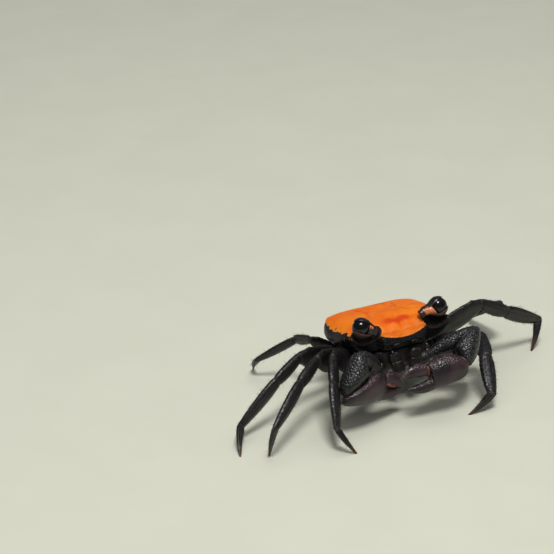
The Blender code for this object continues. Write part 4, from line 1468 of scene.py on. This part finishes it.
@dataclass
class Leg:
    """One walking leg: four plates, their joints and their bristles."""

    solids: Solids
    side: str
    pair: int
    voxel: float = 0.11
    clear_of_floor: float = 1.1
    ring_depth: float = 0.12
    groove_depth: float = 0.07
    crest_height: float = 0.05
    tip_redness: float = 0.85
    joint_swell: float = 0.93
    parts: tuple[str, ...] = ("merus", "carpus", "propodus", "dactyl")

    def node(self, part: str) -> str:
        """Return the name of the solid of one part."""
        return "leg_{}_{}_{}".format(self.side, self.pair, part)

    def plate(self, part: str, outward: Array) -> Thing:
        """Return one plate with its ridges, the groove near its root and its granules.

        Args:
            part: the part of the leg.
            outward: the direction towards the leg's tip.

        Returns:
            The new piece.
        """
        node = self.solids[self.node(part)]
        piece = rounded_solid(self.node(part) + "_shell", node, self.voxel, smoothing=4)
        points, facing = coordinates(piece.data), normals(piece.data)
        centre, axes, half = principal_axes(coordinates(node.data))
        along = (points - centre) @ axes[0] * np.sign(axes[0] @ outward) / half[0]
        high = (points - centre) @ axes[1] / half[1]
        across = np.abs(facing @ axes[2])
        relief = np.zeros(len(points))
        if part == "merus":
            ring = bell(along + 0.8, 0.035)
            shallow = bell(high, 0.28) * across * soft_step(1.0, 0.4, np.abs(along))
            crest = soft_step(0.75, 0.95, np.abs(high)) * (np.sin(along * half[0] / MM * 9.0) ** 2)
            crest = self.crest_height * crest * soft_step(0.95, 0.7, np.abs(along))
            relief = -self.ring_depth * ring - self.groove_depth * shallow + crest
        else:
            for level in (-0.42, 0.42):
                groove = bell(high - level, 0.13) * across
                relief -= self.groove_depth * groove * soft_step(1.0, 0.75, np.abs(along))
        raise_skin(piece, relief)

        def upper(points: Array, facing: Array) -> Array:
            """Grains on what looks up and outwards."""
            return np.clip(0.45 + 0.75 * facing[:, 2], 0.0, 1.0)

        fine = 0.8 if part == "dactyl" else 1.0
        granulate(piece, Granules(0.42 * fine, 0.2 * fine, 0.045 * fine, upper, SEED + self.pair))
        if part == "dactyl":
            store(piece.data, "tip", soft_step(-0.1, 1.0, along) * self.tip_redness)
        return piece

    def dress(self, finishes: Finishes) -> None:
        """Build and finish the plates, the joints and the bristles.

        Args:
            finishes: the crab's finishes.
        """
        plates = []
        earlier, _, _ = principal_axes(coordinates(self.solids["thorax"].data))
        for part in self.parts:
            node = self.solids[self.node(part)]
            centre, axes, _ = principal_axes(coordinates(node.data))
            outward = axes[0] * np.sign(axes[0] @ (centre - earlier))
            piece = self.plate(part, outward)
            settle(piece, finishes.leg, Slot.LEG, self.node(part))
            plates.append((piece, outward))
            earlier = centre
        names = ("thorax", *map(self.node, self.parts))
        for first, second in zip(names, names[1:]):
            skin = membrane(second + "_joint", self.solids[first], self.solids[second], self.joint_swell)
            settle(skin, finishes.membrane, Slot.LEG)

        def margins(points: Array, facing: Array) -> Array:
            """The upper and lower margins of a plate."""
            centre, axes, half = principal_axes(points)
            high = (points - centre) @ axes[1] / half[1]
            keep = soft_step(0.55, 0.8, np.abs(facing @ axes[1])) * soft_step(0.3, 0.5, np.abs(high) + 0.3)
            keep = keep * (points[:, 2] > self.clear_of_floor * MM)
            return keep * soft_step(0.98, 0.9, np.abs((points - centre) @ axes[0] / half[0]))

        coat = bristle_coat(
            "leg_{}_{}_bristles".format(self.side, self.pair),
            plates[1:],
            [
                Bristles(0.55, 0.62, 0.032, 1.1, margins, SEED + 5),
                Bristles(0.9, 0.9, 0.036, 0.8, margins, SEED + 6),
            ],
        )
        settle(coat, finishes.bristle, Slot.LEG)


@dataclass
class Claw:
    """One claw: arm, wrist plate, palm with its fixed finger, and the moving finger."""

    solids: Solids
    side: str
    voxel: float = 0.085
    joint_swell: float = 0.95
    hinge_swell: float = 0.8

    def node(self, part: str) -> str:
        """Return the name of the solid of one part."""
        return "claw_{}_{}".format(self.side, part)

    def arm_plate(self, part: str) -> Thing:
        """Return the arm or the wrist plate, rough with granules.

        Args:
            part: the part of the claw.

        Returns:
            The new piece.
        """
        node = self.solids[self.node(part)]
        piece = rounded_solid(self.node(part) + "_shell", node, self.voxel, smoothing=4)

        def rough(points: Array, facing: Array) -> Array:
            """Grains all over, closer set above."""
            return np.clip(0.6 + 0.5 * facing[:, 2], 0.0, 1.0)

        granulate(
            piece,
            Granules(0.4, 0.22, 0.1, rough, SEED + 3),
            Granules(0.27, 0.13, 0.04, rough, SEED + 4),
        )
        return piece

    def hand(self, part: str, tipward: Array) -> Thing:
        """Return the palm or the moving finger, with granules above and paler tips.

        Args:
            part: the part of the claw.
            tipward: the direction from the palm to the fingers.

        Returns:
            The new piece.
        """
        node = self.solids[self.node(part)]
        piece = rounded_solid(self.node(part) + "_shell", node, self.voxel, 0.6, 4)

        def upper(points: Array, facing: Array) -> Array:
            """Grains on the upper face."""
            return soft_step(0.25, 0.75, facing[:, 2])

        def outer(points: Array, facing: Array) -> Array:
            """Faint grains on the rest."""
            return 0.5 * soft_step(0.6, 0.1, facing[:, 2])

        granulate(
            piece,
            Granules(0.36, 0.19, 0.085, upper, SEED + 7),
            Granules(0.34, 0.15, 0.03, outer, SEED + 8),
        )
        points = coordinates(piece.data)
        reach = (points - coordinates(self.solids[self.node("palm")].data).mean(0)) @ tipward / MM
        store(piece.data, "tip", soft_step(4.2, 7.6, reach))
        return piece

    def dress(self, finishes: Finishes) -> None:
        """Build and finish the whole claw.

        Args:
            finishes: the crab's finishes.
        """
        for part in ("merus", "carpus"):
            settle(self.arm_plate(part), finishes.arm, Slot.LEG, self.node(part))
        palm = coordinates(self.solids[self.node("palm")].data)
        finger = coordinates(self.solids[self.node("finger")].data)
        tipward = finger.mean(0) - palm.mean(0)
        tipward /= np.linalg.norm(tipward)
        for part in ("palm", "finger"):
            settle(self.hand(part, tipward), finishes.claw, Slot.CLAW, self.node(part))
        names = ("thorax", self.node("merus"), self.node("carpus"), self.node("palm"))
        for first, second in zip(names, names[1:]):
            finish = finishes.wrist if second == names[-1] else finishes.membrane
            skin = membrane(second + "_joint", self.solids[first], self.solids[second], self.joint_swell)
            settle(skin, finish, Slot.CLAW)
        palm, finger = self.solids[names[-1]], self.solids[self.node("finger")]
        settle(membrane(self.node("hinge"), palm, finger, self.hinge_swell), finishes.hinge, Slot.CLAW)


@dataclass
class Studio:
    """A plain pale floor, soft light and the photograph's camera."""

    camera_offset: tuple[float, float, float] = (-119.31, -255.55, 151.85)
    camera_turn: float = 21.25
    camera_down: float = 25.0
    lens: float = 117.2
    sensor: float = 36.0
    floor_half: float = 4.0

    def floor(self) -> None:
        """Add the floor."""
        bpy.ops.object.select_all(action="DESELECT")
        bpy.ops.mesh.primitive_plane_add(size=self.floor_half * 2.0)
        floor = bpy.context.object
        floor.name = "floor"
        floor.data.materials.append(PaleFloor("floor_pale").material())

    def lamp(
        self, name: str, heading: float, rise: float, distance: float,
        size: float, power: float, mirrored: bool,
    ) -> None:
        """Add a soft square lamp that looks at the crab.

        Args:
            name: the lamp's name.
            heading: degrees from the camera's side, anticlockwise seen from above.
            rise: degrees above the horizon.
            distance: metres from the crab.
            size: the square's side, in metres.
            power: watts.
            mirrored: whether glossy surfaces mirror it.
        """
        turn = math.radians(heading - 90.0 - self.camera_turn)
        up = math.radians(rise)
        aim = Vector((math.cos(turn) * math.cos(up), math.sin(turn) * math.cos(up), math.sin(up)))
        data = bpy.data.lights.new(name, "AREA")
        data.size = size
        data.energy = power
        lamp = bpy.data.objects.new(name, data)
        bpy.context.scene.collection.objects.link(lamp)
        lamp.location = aim * distance + Vector((0.0, 0.0, 0.01))
        lamp.rotation_mode = "QUATERNION"
        lamp.rotation_quaternion = aim.to_track_quat("Z", "Y")
        lamp.visible_glossy = mirrored

    def light(self) -> None:
        """Add the lamps and the pale surroundings."""
        self.lamp("key", 8.0, 70.0, 0.6, 0.15, 2.9, True)
        self.lamp("sky", 150.0, 70.0, 0.9, 0.7, 2.6, False)
        self.lamp("fill", -35.0, 45.0, 1.0, 0.6, 1.6, False)
        world = bpy.data.worlds.new("studio")
        world.use_nodes = True
        world.node_tree.nodes["Background"].inputs["Color"].default_value = (0.9, 0.95, 1.0, 1.0)
        world.node_tree.nodes["Background"].inputs["Strength"].default_value = 0.14
        bpy.context.scene.world = world

    def camera(self) -> None:
        """Add the camera."""
        data = bpy.data.cameras.new("camera")
        data.lens = self.lens
        data.sensor_width = self.sensor
        data.clip_start = 0.01
        camera = bpy.data.objects.new("camera", data)
        bpy.context.scene.collection.objects.link(camera)
        camera.location = (Vector(self.camera_offset) + Vector((*BODY_ORIGIN[:2], 0.0))) * MM
        tilt = math.radians(90.0 - self.camera_down)
        camera.rotation_euler = Euler((tilt, 0.0, -math.radians(self.camera_turn)))
        bpy.context.scene.camera = camera

    def dress(self) -> None:
        """Set up the whole studio."""
        self.floor()
        self.light()
        self.camera()


def main() -> None:
    """Build every piece of the crab round its solids, and the studio."""
    logging.basicConfig(level=logging.INFO, format="%(name)s: %(message)s")
    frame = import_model()
    solids = frame["nodes"]
    finishes = Finishes.made()
    Carapace(solids).dress(finishes)
    Underside(solids).dress(finishes)
    Face(solids).dress(finishes)
    for side in SIDE_SIGN:
        Eye(solids, side, STALK_LIFT[side]).dress(finishes)
        Claw(solids, side).dress(finishes)
        for pair in LEG_PAIRS:
            Leg(solids, side, pair).dress(finishes)
    Studio().dress()
    bpy.context.scene.view_settings.view_transform = "Standard"


if __name__ == "__main__":
    main()
